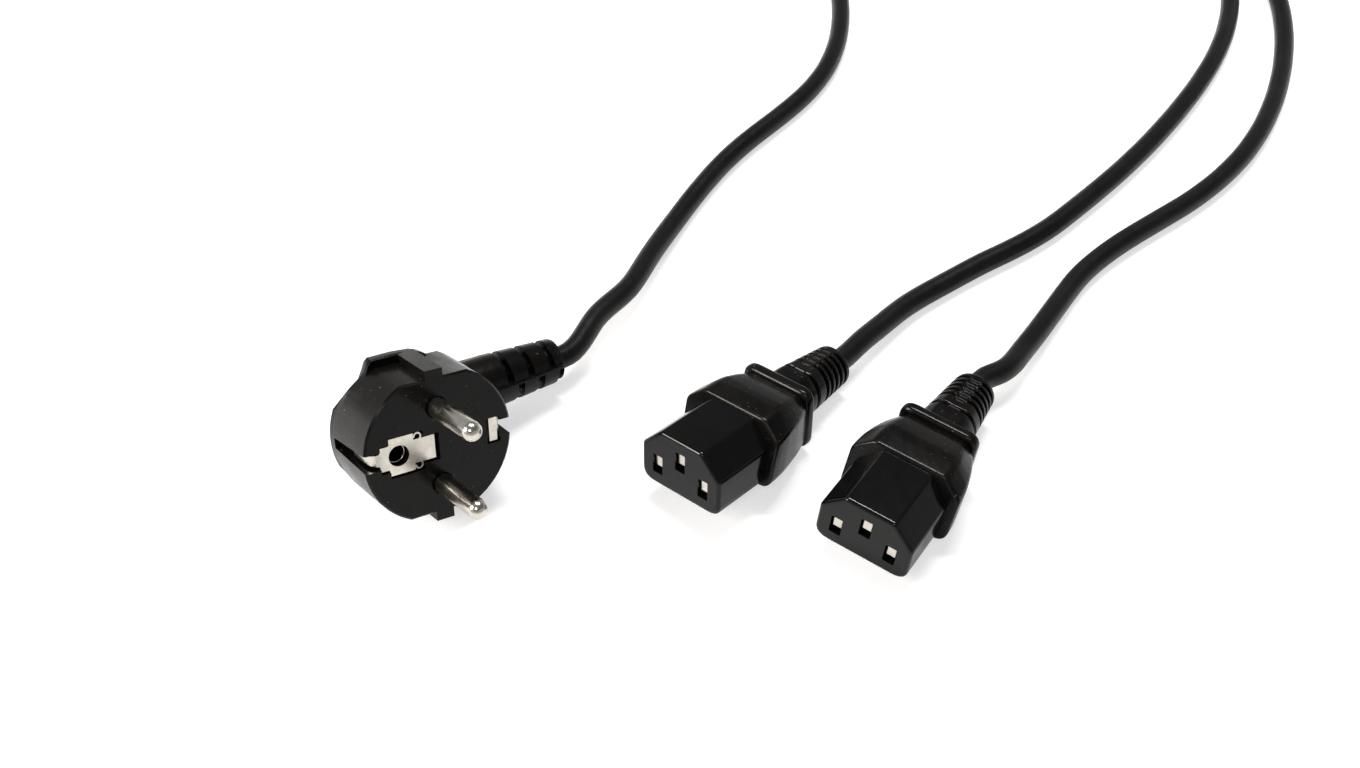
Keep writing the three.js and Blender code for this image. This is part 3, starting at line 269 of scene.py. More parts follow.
@dataclass(frozen=True)
class CordJacket:
    """The round PVC jacket, whose three twisted cores show as a faint helical swell.

    It reads the tube's own UV map: u is the turn round the cord and v the metres along it.
    """

    name: str = "cord_jacket"
    colour: tuple[float, float, float] = (0.0034, 0.0033, 0.0034)
    haze: tuple[float, float, float] = (0.0068, 0.0064, 0.0060)
    lay_length: float = 0.055

    def make(self) -> bpy.types.Material:
        """Builds the material."""
        graph = Graph(self.name)
        where = graph.place()
        uv = graph.node("ShaderNodeUVMap", {"uv_map": "jacket"})
        parts = ("ShaderNodeSeparateXYZ", None, {0: uv})
        turn = graph.node(*parts, output=0)
        along = graph.node(*parts, output=1)
        lay = ((turn - along * (1.0 / self.lay_length)) * (6.0 * math.pi)).wave()
        drag = graph.noise(graph.place(), 0.6, 4.0, 0.6)
        grain = graph.noise(where, 3.4, 2.0, 0.6)
        cloud = graph.noise(where, 0.07, 3.0, 0.55)
        swell = graph.bump(lay * 0.5 + 0.5, 0.035)
        graph.set(
            Base_Color=graph.mixed(cloud.clipped(0.35, 0.7), self.colour, self.haze),
            Roughness=drag.clipped(0.25, 0.75) * 0.14 + 0.26,
            Normal=graph.bump(grain, 0.012, swell),
            Specular_IOR_Level=0.2,
        )
        return graph.material


@dataclass(frozen=True)
class PlatedMetal:
    """Nickel on brass, or copper: bright, with fine drawn scratches and dull patches.

    Where a depth axis is given, the colour goes dark along it: painted shade, as for the shaded
    inside of a deep hole.
    """

    name: str
    colour: tuple[float, float, float]
    dull: tuple[float, float, float]
    polish: float
    stretch: tuple[float, float, float] = (1.0, 9.0, 1.0)
    scratch: float = 0.006
    depth_axis: tuple[float, float, float] | None = None
    painted_shade_from: float = 0.0
    painted_shade_to: float = 0.0

    def make(self) -> bpy.types.Material:
        """Builds the material."""
        graph = Graph(self.name)
        drawn = graph.noise(graph.place(self.stretch), 5.0, 4.0, 0.7)
        cloud = graph.noise(graph.place(), 0.4, 4.0, 0.6)
        stain = graph.noise(graph.place(), 1.1, 3.0, 0.5).clipped(0.6, 0.8)
        bright = graph.mixed(cloud.clipped(0.3, 0.75), self.colour, self.dull)
        # Painted shade: deeper along the axis the colour goes to near black, standing for the shade
        # inside a deep hole.
        if self.depth_axis is not None:
            settings = {"operation": "DOT_PRODUCT"}
            inputs = {0: graph.node("ShaderNodeTexCoord", output="Object"), 1: self.depth_axis}
            depth = graph.node("ShaderNodeVectorMath", settings, inputs, output="Value")
            share = depth.clipped(self.painted_shade_to, self.painted_shade_from)
            bright = graph.mixed(share, (0.006, 0.006, 0.006), bright)
        graph.set(
            Base_Color=graph.mixed(stain * 0.5, bright, [0.7 * part for part in self.dull]),
            Metallic=1.0,
            Roughness=cloud.clipped(0.3, 0.8) * 0.1 + stain * 0.1 + self.polish,
            Normal=graph.bump(drawn, self.scratch),
        )
        return graph.material


@dataclass(frozen=True)
class CoreInsulation:
    """Insulation of one core; the earth core has a second colour in long stripes."""

    name: str
    colour: tuple[float, float, float]
    stripe: tuple[float, float, float]
    stripe_share: float = 0.0

    def make(self) -> bpy.types.Material:
        """Builds the material."""
        graph = Graph(self.name)
        where = graph.place()
        cloud = graph.noise(where, 0.5, 3.0)
        stripe = graph.noise(graph.place((1.0, 6.0, 6.0)), 0.8, 0.0).over(1.0 - self.stripe_share)
        darker = [0.6 * part for part in self.colour]
        base = graph.mixed(cloud.clipped(0.3, 0.7) * 0.4, self.colour, darker)
        graph.set(
            Base_Color=graph.mixed(stripe, base, self.stripe),
            Roughness=cloud * 0.15 + 0.38,
            Normal=graph.bump(graph.noise(where, 3.0, 2.0), 0.01),
        )
        return graph.material


@dataclass(frozen=True)
class TieStrap:
    """Black nylon strap with fine ribs across it; its UV map's v runs round the band."""

    name: str = "tie_strap"
    colour: tuple[float, float, float] = (0.016, 0.016, 0.017)

    def make(self) -> bpy.types.Material:
        """Builds the material."""
        graph = Graph(self.name)
        uv = graph.node("ShaderNodeUVMap", {"uv_map": "jacket"})
        along = graph.node("ShaderNodeSeparateXYZ", None, {0: uv}, output=1)
        rib = (along * (2.0 * math.pi / 0.0012)).wave() * 0.5 + 0.5
        cloud = graph.noise(graph.place(), 0.3, 3.0)
        graph.set(
            Base_Color=graph.mixed(cloud.clipped(0.3, 0.7), self.colour, (0.026, 0.026, 0.027)),
            Roughness=cloud * 0.2 + 0.42,
            Normal=graph.bump(rib, 0.08),
        )
        return graph.material


class Finishes:
    """All the finishes of the part, by material slot."""

    def __init__(self) -> None:
        """Builds each finish once."""
        recipes = {
            Slot.SOFT_BLACK: MouldedPlastic(
                "soft_pvc", (0.0026, 0.0023, 0.0022), (0.0062, 0.0052, 0.0044), 0.14, 0.18, 0.012
            ),
            Slot.GLOSS_BLACK: MouldedPlastic(
                "gloss_nylon",
                (0.0028, 0.0028, 0.0029),
                (0.0042, 0.0041, 0.0040),
                0.08,
                0.1,
                0.003,
                specular=0.24,
                glint_edge=0.82,
            ),
            Slot.CORD_BLACK: CordJacket(),
            Slot.NICKEL: PlatedMetal("nickel", (0.70, 0.665, 0.60), (0.56, 0.53, 0.47), 0.18),
            Slot.BROWN_CORE: CoreInsulation("brown_core", (0.1, 0.035, 0.012), (0.1, 0.035, 0.012)),
            Slot.BLUE_CORE: CoreInsulation("blue_core", (0.02, 0.11, 0.4), (0.02, 0.11, 0.4)),
            Slot.EARTH_CORE: CoreInsulation(
                "earth_core", (0.6, 0.5, 0.02), (0.04, 0.28, 0.05), 0.45
            ),
            Slot.CRIMP: PlatedMetal("crimp", (0.72, 0.42, 0.26), (0.5, 0.27, 0.16), 0.25),
            Slot.TIE_BLACK: TieStrap(),
        }
        self.made = {slot: recipe.make() for slot, recipe in recipes.items()}

    def dress(self, piece: bpy.types.Object, slot: Slot) -> None:
        """Gives a new piece its finish and its place in the record.

        Args:
            piece: The new piece.
            slot: The record's slot that it takes its finish from.
        """
        piece.data.materials.clear()
        piece.data.materials.append(self.made[slot])
        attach(piece, "root")
        LOG.info("piece %s: %d faces, %s", piece.name, len(piece.data.polygons), slot.value)

    def dress_node(self, name: str, slot: Slot) -> None:
        """Gives a CAD node that stays a better material, on its object's own slot."""
        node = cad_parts[name]
        for holder in node.material_slots:
            holder.link = "OBJECT"
            holder.material = self.made[slot]
        LOG.info("node %s keeps its shape: %s", name, slot.value)


# Meshes


def added(name: str, mesh: bpy.types.Mesh) -> bpy.types.Object:
    """Makes an object of a mesh and links it to the scene."""
    piece = bpy.data.objects.new(name, mesh)
    bpy.context.scene.collection.objects.link(piece)
    return piece


def smooth_mesh(name: str, points: np.ndarray, faces: list[list[int]]) -> bpy.types.Mesh:
    """Makes a mesh of points in metres whose faces are all shaded smooth."""
    mesh = bpy.data.meshes.new(name)
    mesh.from_pydata(points, [], faces)
    mesh.polygons.foreach_set("use_smooth", np.ones(len(mesh.polygons), bool))
    mesh.update()
    return mesh


def band_faces(lower: np.ndarray, upper: np.ndarray, sides: int) -> list[list[int]]:
    """Gives the quads between closed rows of points.

    Args:
        lower: Number of the first point of each lower row.
        upper: Number of the first point of the row over it.
        sides: Points in a row.

    Returns:
        Four point numbers for each quad.
    """
    step = np.arange(sides)
    after = (step + 1) % sides
    low, high = lower[:, None], upper[:, None]
    quads = np.stack((low + step, low + after, high + after, high + step), -1)
    return quads.reshape(-1, 4).tolist()


def grid_piece(
    name: str, points: np.ndarray, uv: np.ndarray | None = None, capped: bool = True
) -> bpy.types.Object:
    """Makes a closed surface from rings of points, with a flat cap on its first and last ring.

    Args:
        name: The piece's name.
        points: Points in metres, as rings × points in a ring × 3, counter-clockwise seen from
            the last ring.
        uv: Turn and distance along for each corner of a ring, as rings × (points + 1) × 2.
        capped: Whether the two ends are closed; if not, the last ring joins the first.

    Returns:
        The new object.
    """
    rings, sides = points.shape[:2]
    rows = np.arange(rings) * sides
    if capped:
        faces = band_faces(rows[:-1], rows[1:], sides)
        faces.append(np.arange(sides)[::-1].tolist())
        faces.append((rows[-1] + np.arange(sides)).tolist())
    else:
        faces = band_faces(rows, np.roll(rows, -1), sides)
    mesh = smooth_mesh(name, points.reshape(-1, 3), faces)
    if uv is not None:
        patch = np.stack((uv[:-1, :-1], uv[:-1, 1:], uv[1:, 1:], uv[1:, :-1]), 2).reshape(-1, 2)
        spare = np.zeros((len(mesh.loops) - len(patch), 2))
        layer = mesh.uv_layers.new(name="jacket")
        layer.data.foreach_set("uv", np.concatenate((patch, spare)).ravel())
    return added(name, mesh)


def spline_through(points: np.ndarray, step: float) -> np.ndarray:
    """Gives even points on the natural cubic spline through some points.

    The spline's second derivatives solve the usual banded system over the chord lengths; each
    coordinate between two knots is then the cubic that those values give.

    Args:
        points: The knots, in rows of three.
        step: Distance between the points given back.

    Returns:
        Rows of points about a step apart.
    """
    gaps = np.linalg.norm(np.diff(points, axis=0), axis=1)
    knots = np.concatenate(([0.0], np.cumsum(gaps)))
    count = len(points)
    slopes = np.diff(points, axis=0) / gaps[:, None]
    system = np.eye(count)
    inner = np.arange(1, count - 1)
    system[inner, inner - 1] = gaps[:-1]
    system[inner, inner] = 2 * (gaps[:-1] + gaps[1:])
    system[inner, inner + 1] = gaps[1:]
    right = np.zeros_like(points)
    right[1:-1] = 6 * np.diff(slopes, axis=0)
    bend = np.linalg.solve(system, right)
    where = np.linspace(0.0, knots[-1], int(knots[-1] / step) + 2)
    part = np.clip(np.searchsorted(knots, where, side="right") - 1, 0, count - 2)
    ahead = (knots[part + 1] - where)[:, None]
    behind = (where - knots[part])[:, None]
    gap = gaps[part][:, None]
    cubic = (bend[part] * ahead**3 + bend[part + 1] * behind**3) / (6 * gap)
    start = (points[part] / gap - bend[part] * gap / 6) * ahead
    end = (points[part + 1] / gap - bend[part + 1] * gap / 6) * behind
    return cubic + start + end


def refined_copy(node_name: str, name: str, edge: float, corner: float = 32.0) -> bpy.types.Object:
    """Copies a CAD node, joins its loose triangles and rounds its edges as a mould leaves them.

    Args:
        node_name: The CAD node.
        name: The new piece's name.
        edge: Width of the rounding, in millimetres.
        corner: Angle in degrees from which an edge counts as one.

    Returns:
        The copy, which stands for the node.
    """
    mesh = bpy.data.meshes.new(name)
    work = bmesh.new()
    work.from_mesh(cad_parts[node_name].data)
    bmesh.ops.remove_doubles(work, verts=work.verts, dist=JOIN_DISTANCE * MM)
    bmesh.ops.dissolve_degenerate(work, dist=JOIN_DISTANCE * MM, edges=work.edges)
    flat = math.radians(FLAT_ANGLE)
    bmesh.ops.dissolve_limit(work, angle_limit=flat, verts=work.verts, edges=work.edges)
    for surface in work.faces:
        surface.smooth = True
    for line in work.edges:
        line.smooth = line.calc_face_angle(0.0) < math.radians(corner)
    work.to_mesh(mesh)
    work.free()
    piece = added(name, mesh)
    bevel = piece.modifiers.new("Edge", "BEVEL")
    bevel.width = edge * MM
    bevel.segments = 3
    bevel.limit_method = "ANGLE"
    bevel.angle_limit = math.radians(corner)
    bevel.use_clamp_overlap = True
    bevel.harden_normals = True
    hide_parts(node_name)
    return piece


@dataclass(frozen=True)
class Place:
    """Place and turn of one rigid assembly in the picture frame; w points out of its face."""

    origin: tuple[float, float, float]
    yaw: float
    pitch: float
    roll: float

    def axes(self) -> np.ndarray:
        """Gives the unit vectors u, v and w in rows."""
        yaw, pitch, roll = (math.radians(angle) for angle in (self.yaw, self.pitch, self.roll))
        level = math.cos(pitch)
        w = np.array([math.cos(yaw) * level, math.sin(yaw) * level, math.sin(pitch)])
        u = np.cross([0.0, 0.0, 1.0], w)
        u /= np.linalg.norm(u)
        v = np.cross(w, u)
        turned_u = u * math.cos(roll) + v * math.sin(roll)
        turned_v = v * math.cos(roll) - u * math.sin(roll)
        return np.array([turned_u, turned_v, w])

    def at(self, local: np.ndarray) -> np.ndarray:
        """Takes local points in millimetres to the part's frame in metres."""
        return in_part(np.asarray(local, float) @ self.axes() + np.array(self.origin))

    def depth_zero(self) -> float:
        """Gives how far the local origin lies along w in the part's frame, in metres."""
        return float(in_part(self.origin) @ self.axes()[2])


def turned_surface(
    profile: Sequence[tuple[float, float]], centre: tuple[float, float]
) -> np.ndarray:
    """Gives the rings of a turned surface: a profile of radius and depth carried round w.

    Args:
        profile: Pairs of radius and w.
        centre: u and v of the axis.

    Returns:
        Local points as profile points × points round the axis × 3.
    """
    radius, depth = np.array(profile, float).T
    angle = np.linspace(0.0, 2 * math.pi, TURNED_SIDES, endpoint=False)
    u = centre[0] + radius[:, None] * np.cos(angle)
    v = centre[1] + radius[:, None] * np.sin(angle)
    w = np.broadcast_to(depth[:, None], u.shape)
    return np.stack((u, v, w), -1)


def rounded_rings(corners: np.ndarray, radii: Sequence[float], steps: int = 8) -> np.ndarray:
    """Gives rounded outlines: each corner is a quadratic Bézier curve between its two sides.

    The curve's ends lie at radius / tan(half the corner's angle) from the corner.

    Args:
        corners: Corners in order, as rings × corners × 2.
        radii: Radius of each corner.
        steps: Steps in each corner.

    Returns:
        Outlines as rings × (corners × (steps + 1)) × 2.
    """
    back = np.roll(corners, 1, axis=1) - corners
    ahead = np.roll(corners, -1, axis=1) - corners
    back /= np.linalg.norm(back, axis=-1, keepdims=True)
    ahead /= np.linalg.norm(ahead, axis=-1, keepdims=True)
    half = np.arccos(np.clip((back * ahead).sum(-1), -1.0, 1.0)) / 2
    reach = (np.array(radii) / np.tan(half))[..., None]
    share = np.linspace(0.0, 1.0, steps + 1)[:, None]
    first = (corners + back * reach)[:, :, None, :]
    last = (corners + ahead * reach)[:, :, None, :]
    middle = corners[:, :, None, :]
    curve = first * (1 - share) ** 2 + middle * 2 * share * (1 - share) + last * share**2
    return curve.reshape(len(corners), -1, 2)


def mirrored(*right: tuple[np.ndarray | float, np.ndarray | float]) -> np.ndarray:
    """Gives an outline's corners, counter-clockwise, from those on its right.

    Args:
        right: u and v of each right corner from the bottom up, as numbers or one for each ring.

    Returns:
        Corners as rings × corners × 2, or corners × 2 where numbers were given.
    """
    side = np.stack([np.stack(np.broadcast_arrays(*corner), -1) for corner in right], axis=-2)
    return np.concatenate((side, side[..., ::-1, :] * [-1.0, 1.0]), axis=-2)


def moved_in(corners: np.ndarray, inset: np.ndarray) -> np.ndarray:
    """Moves each side of an outline inwards: a corner goes inset / sin(half its angle) inwards.

    Args:
        corners: Corners in order, as corners × 2.
        inset: One distance for each ring given back.

    Returns:
        Corners as rings × corners × 2.
    """
    back = np.roll(corners, 1, axis=0) - corners
    ahead = np.roll(corners, -1, axis=0) - corners
    back /= np.linalg.norm(back, axis=-1, keepdims=True)
    ahead /= np.linalg.norm(ahead, axis=-1, keepdims=True)
    inwards = back + ahead
    inwards /= np.linalg.norm(inwards, axis=-1, keepdims=True)
    half = np.arccos(np.clip((back * ahead).sum(-1), -1.0, 1.0)) / 2
    return corners[None] + inset[:, None, None] * (inwards / np.sin(half)[:, None])[None]


def quarter_edge(radius: float, steps: int) -> tuple[np.ndarray, np.ndarray]:
    """Gives a rounded edge's inset, r(1 − sin a), and its depth, r(1 − cos a), from a face back."""
    turn = np.linspace(0.0, math.pi / 2, steps)
    return radius * (1 - np.sin(turn)), radius * (1 - np.cos(turn))


def gate(values: np.ndarray, low: float, high: float, soft: float) -> np.ndarray:
    """Gives 1 between two limits and 0 outside, with soft edges: the product of two ramps."""
    rise = np.clip((values - low) / soft + 0.5, 0.0, 1.0)
    fall = np.clip((high - values) / soft + 0.5, 0.0, 1.0)
    return rise * fall


def eased(where: np.ndarray, places: Sequence[float], values: Sequence[float]) -> np.ndarray:
    """Interpolates values smoothly: straight lines, then a short moving average."""
    straight = np.interp(where, places, values)
    window = np.hanning(9)
    padded = np.pad(straight, 4, mode="edge")
    return np.convolve(padded, window / window.sum(), mode="valid")


def join(pieces: Sequence[bpy.types.Object], name: str) -> bpy.types.Object:
    """Joins closed surfaces into one piece.

    Args:
        pieces: The surfaces, which are used up.
        name: The new piece's name.

    Returns:
        The joined piece, with its faces turned outwards.
    """
    work = bmesh.new()
    for piece in pieces:
        work.from_mesh(piece.data)
        bpy.data.objects.remove(piece)
    bmesh.ops.recalc_face_normals(work, faces=work.faces)
    for line in work.edges:
        line.smooth = line.calc_face_angle(0.0) < math.radians(CREASE_ANGLE)
    mesh = bpy.data.meshes.new(name)
    work.to_mesh(mesh)
    work.free()
    return added(name, mesh)


# Cords


@dataclass
class Cord:
    """One free cord: a round tube carried along its route."""

    name: str
    nodes: tuple[str, ...]
    route: np.ndarray
    exit_point: np.ndarray
    lay: str
    length: float
    diameter: float = 6.0
    step: float = 2.0
    sides: int = 20
    with_pieces: tuple[bpy.types.Object, ...] = ()

    def make(self, finishes: Finishes) -> bpy.types.Object:
        """At each point of the path the ring lies across the tangent t, on the axes t × up and
        (t × up) × t. The radius swells by a hair along three helices, as twisted cores do.

        Args:
            finishes: The part's finishes.

        Returns:
            The tube.
        """
        path = spline_through(self.route, self.step)
        tangent = np.gradient(path, axis=0)
        tangent /= np.linalg.norm(tangent, axis=1)[:, None]
        across = np.cross(tangent, [0.0, 0.0, 1.0])
        across /= np.linalg.norm(across, axis=1)[:, None]
        upward = np.cross(across, tangent)
        gone = np.concatenate(([0.0], np.cumsum(np.linalg.norm(np.diff(path, axis=0), axis=1))))
        angle = np.linspace(0.0, 2 * math.pi, self.sides + 1)
        swell = 1 + 0.004 * np.cos(3 * (angle[None, :-1] - 2 * math.pi * gone[:, None] / 55.0))
        radius = (self.diameter / 2) * swell[..., None]
        ring = (
            np.sin(angle[:-1])[None, :, None] * across[:, None, :]
            + np.cos(angle[:-1])[None, :, None] * upward[:, None, :]
        )
        points = in_part(path[:, None, :] + radius * ring)
        turn = np.broadcast_to(angle / (2 * math.pi), (len(path), self.sides + 1))
        along = np.broadcast_to(gone[:, None] * MM, turn.shape)
        tube = grid_piece(self.name, points, np.stack((turn, along), -1))
        finishes.dress(tube, Slot.CORD_BLACK)
        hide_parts(*self.nodes)
        self.diameter * MM
        LOG.info("cord %s is %.3f m long", self.name, gone[-1] * MM)
        return tube


@dataclass
class Coil:
    """The wound length of the main cord: it comes in on top, winds in, drops and winds out."""

    centre: tuple[float, float] = (95.0, 280.0)
    radii: tuple[float, ...] = (40.3, 34.3, 28.3, 28.3, 34.3, 40.3)
    heights: tuple[float, ...] = (10.1, 10.1, 10.1, 4.1, 4.1, 4.1)
    first_turn: float = 0.25
    turns: float = 5.25
    points_a_turn: int = 24
    shift_share: float = 0.24
    drop_dip: float = 3.2

    def route(self) -> np.ndarray:
        """Gives the coil's points, clockwise seen from above, from its left side to its top.

        The first quarter turn lies outside on top. Each turn keeps its radius and height, and
        passes to the next one's in its last share along a smooth step, 3s² − 2s³. Where it
        drops a layer, it also dips inwards by the sine of the share.

        Returns:
            Rows of points in the picture frame.
        """
        count = int(self.turns * self.points_a_turn) + 1
        gone = np.linspace(0.0, self.turns, count)
        later = gone + 1.0 - self.first_turn
        last = len(self.radii) - 1
        turn = np.minimum(later.astype(int), last)
        share = np.clip((later - turn - 1 + self.shift_share) / self.shift_share, 0.0, 1.0)
        share = np.where(turn == last, 0.0, share)
        smooth = share * share * (3 - 2 * share)
        after = np.minimum(turn + 1, last)
        radii = np.array(self.radii)
        heights = np.array(self.heights)
        drop = np.where(heights[after] < heights[turn], np.sin(math.pi * smooth), 0.0)
        radius = radii[turn] + (radii[after] - radii[turn]) * smooth - self.drop_dip * drop
        height = heights[turn] + (heights[after] - heights[turn]) * smooth
        angle = math.pi - 2 * math.pi * gone
        x = self.centre[0] + radius * np.cos(angle)
        y = self.centre[1] + radius * np.sin(angle)
        return np.stack((x, y, height), -1)


@dataclass
class Tie:
    """The strap round the coil: a flat section carried round a rounded rectangle."""

    centre: tuple[float, float] = (95.0, 280.0)
    middle_radius: float = 34.3
    middle_height: float = 7.1
    angle: float = -50.0
    half_width: float = 9.4
    half_height: float = 6.3
    corner: float = 3.0
    thickness: float = 0.7
    width: float = 6.0

    def make(self, finishes: Finishes) -> bpy.types.Object:
        """Builds the strap.

        The loop is the rounded rectangle whose corners are quarter circles; each point of the
        strap's section is that loop, moved out by its share of the thickness.

        Args:
            finishes: The part's finishes.

        Returns:
            The strap.
        """
        quarter = np.linspace(0.0, math.pi / 2, 9)
        starts = np.array([0.0, 1.0, 2.0, 3.0]) * math.pi / 2
        angle = (starts[:, None] + quarter[None, :]).ravel()
        outward = np.stack((np.cos(angle), np.sin(angle)), -1)
        signs_x = np.repeat([1.0, -1.0, -1.0, 1.0], len(quarter))
        signs_y = np.repeat([1.0, 1.0, -1.0, -1.0], len(quarter))
        corner_x = signs_x * (self.half_width - self.corner)
        corner_y = signs_y * (self.half_height - self.corner)
        loop = np.stack((corner_x, corner_y), -1) + outward * self.corner
        half = self.width / 2
        section = np.array([[0.0, -half], [0.0, half], [1.0, half - 0.1], [1.0, 0.1 - half]])
        proud = section[:, 0] * self.thickness
        flat = loop[:, None, :] + outward[:, None, :] * proud[None, :, None]
        side = np.broadcast_to(section[:, 1], flat.shape[:2])
        turn = math.radians(self.angle)
        out = np.array([math.cos(turn), math.sin(turn), 0.0])
        along = np.array([-math.sin(turn), math.cos(turn), 0.0])
        middle = np.array([*self.centre, self.middle_height]) + out * self.middle_radius
        points = (
            middle
            + flat[..., :1] * out
            + flat[..., 1:] * np.array([0.0, 0.0, 1.0])
            + side[..., None] * along
        )
        steps = np.linalg.norm(np.diff(loop, axis=0, append=loop[:1]), axis=1)
        gone = np.concatenate(([0.0], np.cumsum(steps))) * MM
        shares = np.linspace(0.0, 1.0, len(section) + 1)
        uv = np.stack(np.broadcast_arrays(shares[None, :], gone[:, None]), -1)
        strap = grid_piece("coil_strap", in_part(points), uv, capped=False)
        face_outward(strap)
        finishes.dress(strap, Slot.TIE_BLACK)
        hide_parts("coil_tie")
        return strap


def face_outward(piece: bpy.types.Object) -> None:
    """Turns the faces of a closed piece outwards."""
    work = bmesh.new()
    work.from_mesh(piece.data)
    bmesh.ops.recalc_face_normals(work, faces=work.faces)
    work.to_mesh(piece.data)
    work.free()


@dataclass
class CordSet:
    """The main cord with its coil and tie, and the two branch cords."""

    plug_outlet: tuple = ((-48.25, -10.68, 11.64), (-40.14, -5.06, 10.06), (-32.02, 0.57, 8.48))
    left_outlet: tuple = ((25.72, -14.14, 9.32), (32.41, -6.84, 7.93), (39.1, 0.46, 6.54))
    right_outlet: tuple = ((62.7, -26.82, 9.23), (68.2, -18.49, 8.62), (73.69, -10.15, 8.01))
    block_main: tuple = ((141.86, 301.61, 6.8), (144.73, 297.51, 6.8), (153.62, 284.81, 6.8))
    block_left: tuple = ((187.34, 223.58, 6.8), (184.48, 227.68, 6.8), (176.73, 238.74, 6.8))
    block_right: tuple = ((199.63, 232.18, 6.8), (196.76, 236.28, 6.8), (189.02, 247.34, 6.8))
    main_route: tuple = (
        (-29.99, 1.97, 8.08), (-22.4, 16.4, 7.6), (-14.6, 29.1, 6.2), (-9.1, 43.2, 4.8),
        (-3.3, 57.7, 3.5), (3.2, 71.8, 3.0), (9.9, 84.4, 3.0), (17.2, 95.8, 3.0),
        (25.5, 106.4, 3.0), (36.0, 119.6, 3.0), (44.0, 132.4, 3.0), (49.8, 147.0, 3.0),
        (53.2, 162.6, 3.0), (54.6, 179.0, 3.0), (54.9, 196.0, 3.0), (54.8, 213.0, 3.6),
        (54.7, 229.0, 5.2), (54.7, 244.0, 7.6), (54.7, 259.0, 9.6), (54.7, 270.0, 10.1),
    )
    block_route: tuple = ((106.0, 319.6, 4.1), (117.0, 318.6, 4.1), (128.6, 314.2, 4.9))
    left_route: tuple = (
        (42.44, 4.11, 5.84), (46.9, 10.0, 5.2), (52.9, 17.1, 4.4), (60.5, 25.6, 3.6),
        (71.1, 34.5, 3.0), (83.3, 43.4, 3.0), (95.7, 51.7, 3.0), (105.4, 59.4, 3.0),
        (114.6, 68.4, 3.0), (124.6, 78.8, 3.0), (135.0, 90.4, 3.0), (145.0, 102.6, 3.0),
        (154.6, 115.4, 3.0), (163.8, 128.8, 3.0), (172.4, 143.0, 3.0), (180.0, 158.2, 3.0),
        (186.0, 174.2, 3.0), (189.4, 190.8, 3.6), (188.9, 206.8, 5.4),
    )
    right_route: tuple = (
        (76.44, -5.99, 7.7), (81.0, -3.0, 7.2), (87.7, 5.1, 5.6), (94.8, 16.0, 4.1),
        (103.8, 29.9, 3.1), (110.2, 38.8, 3.0), (118.4, 47.4, 3.0), (128.0, 55.6, 3.0),
        (138.4, 63.6, 3.0), (149.0, 72.0, 3.0), (159.2, 81.6, 3.0), (168.8, 92.6, 3.0),
        (177.4, 105.0, 3.0), (185.0, 118.6, 3.0), (191.6, 133.2, 3.0), (197.2, 148.8, 3.0),
        (201.6, 165.2, 3.0), (204.4, 182.2, 3.0), (204.8, 199.2, 3.8), (202.4, 214.8, 5.4),
    )
    coil: Coil = field(default_factory=Coil)
    tie: Tie = field(default_factory=Tie)

    def make(self, finishes: Finishes) -> None:
        """Builds the tie and the three cords.

        Args:
            finishes: The part's finishes.
        """
        strap = self.tie.make(finishes)
        coiled = self.coil.route()
        main = (*self.plug_outlet, *self.main_route, *coiled, *self.block_route, *self.block_main)
        left = (*self.left_outlet, *self.left_route, *self.block_left)
        right = (*self.right_outlet, *self.right_route, *self.block_right)
        main_nodes = ("main_cord_plug_run", "main_cord_coil", "main_cord_block_run")
        for name, nodes, route, outlet, lay, length, carried in (
            ("main_cord", main_nodes, main, self.plug_outlet, "coiled", 1.5, (strap,)),
            ("left_branch", ("left_branch_cord",), left, self.left_outlet, "loose", 0.32, ()),
            ("right_branch", ("right_branch_cord",), right, self.right_outlet, "loose", 0.32, ()),
        ):
            exit_point = np.array(outlet[-1])
            cord = Cord(name, nodes, np.array(route), exit_point, lay, length, with_pieces=carried)
            cord.make(finishes)


# Rigid assemblies


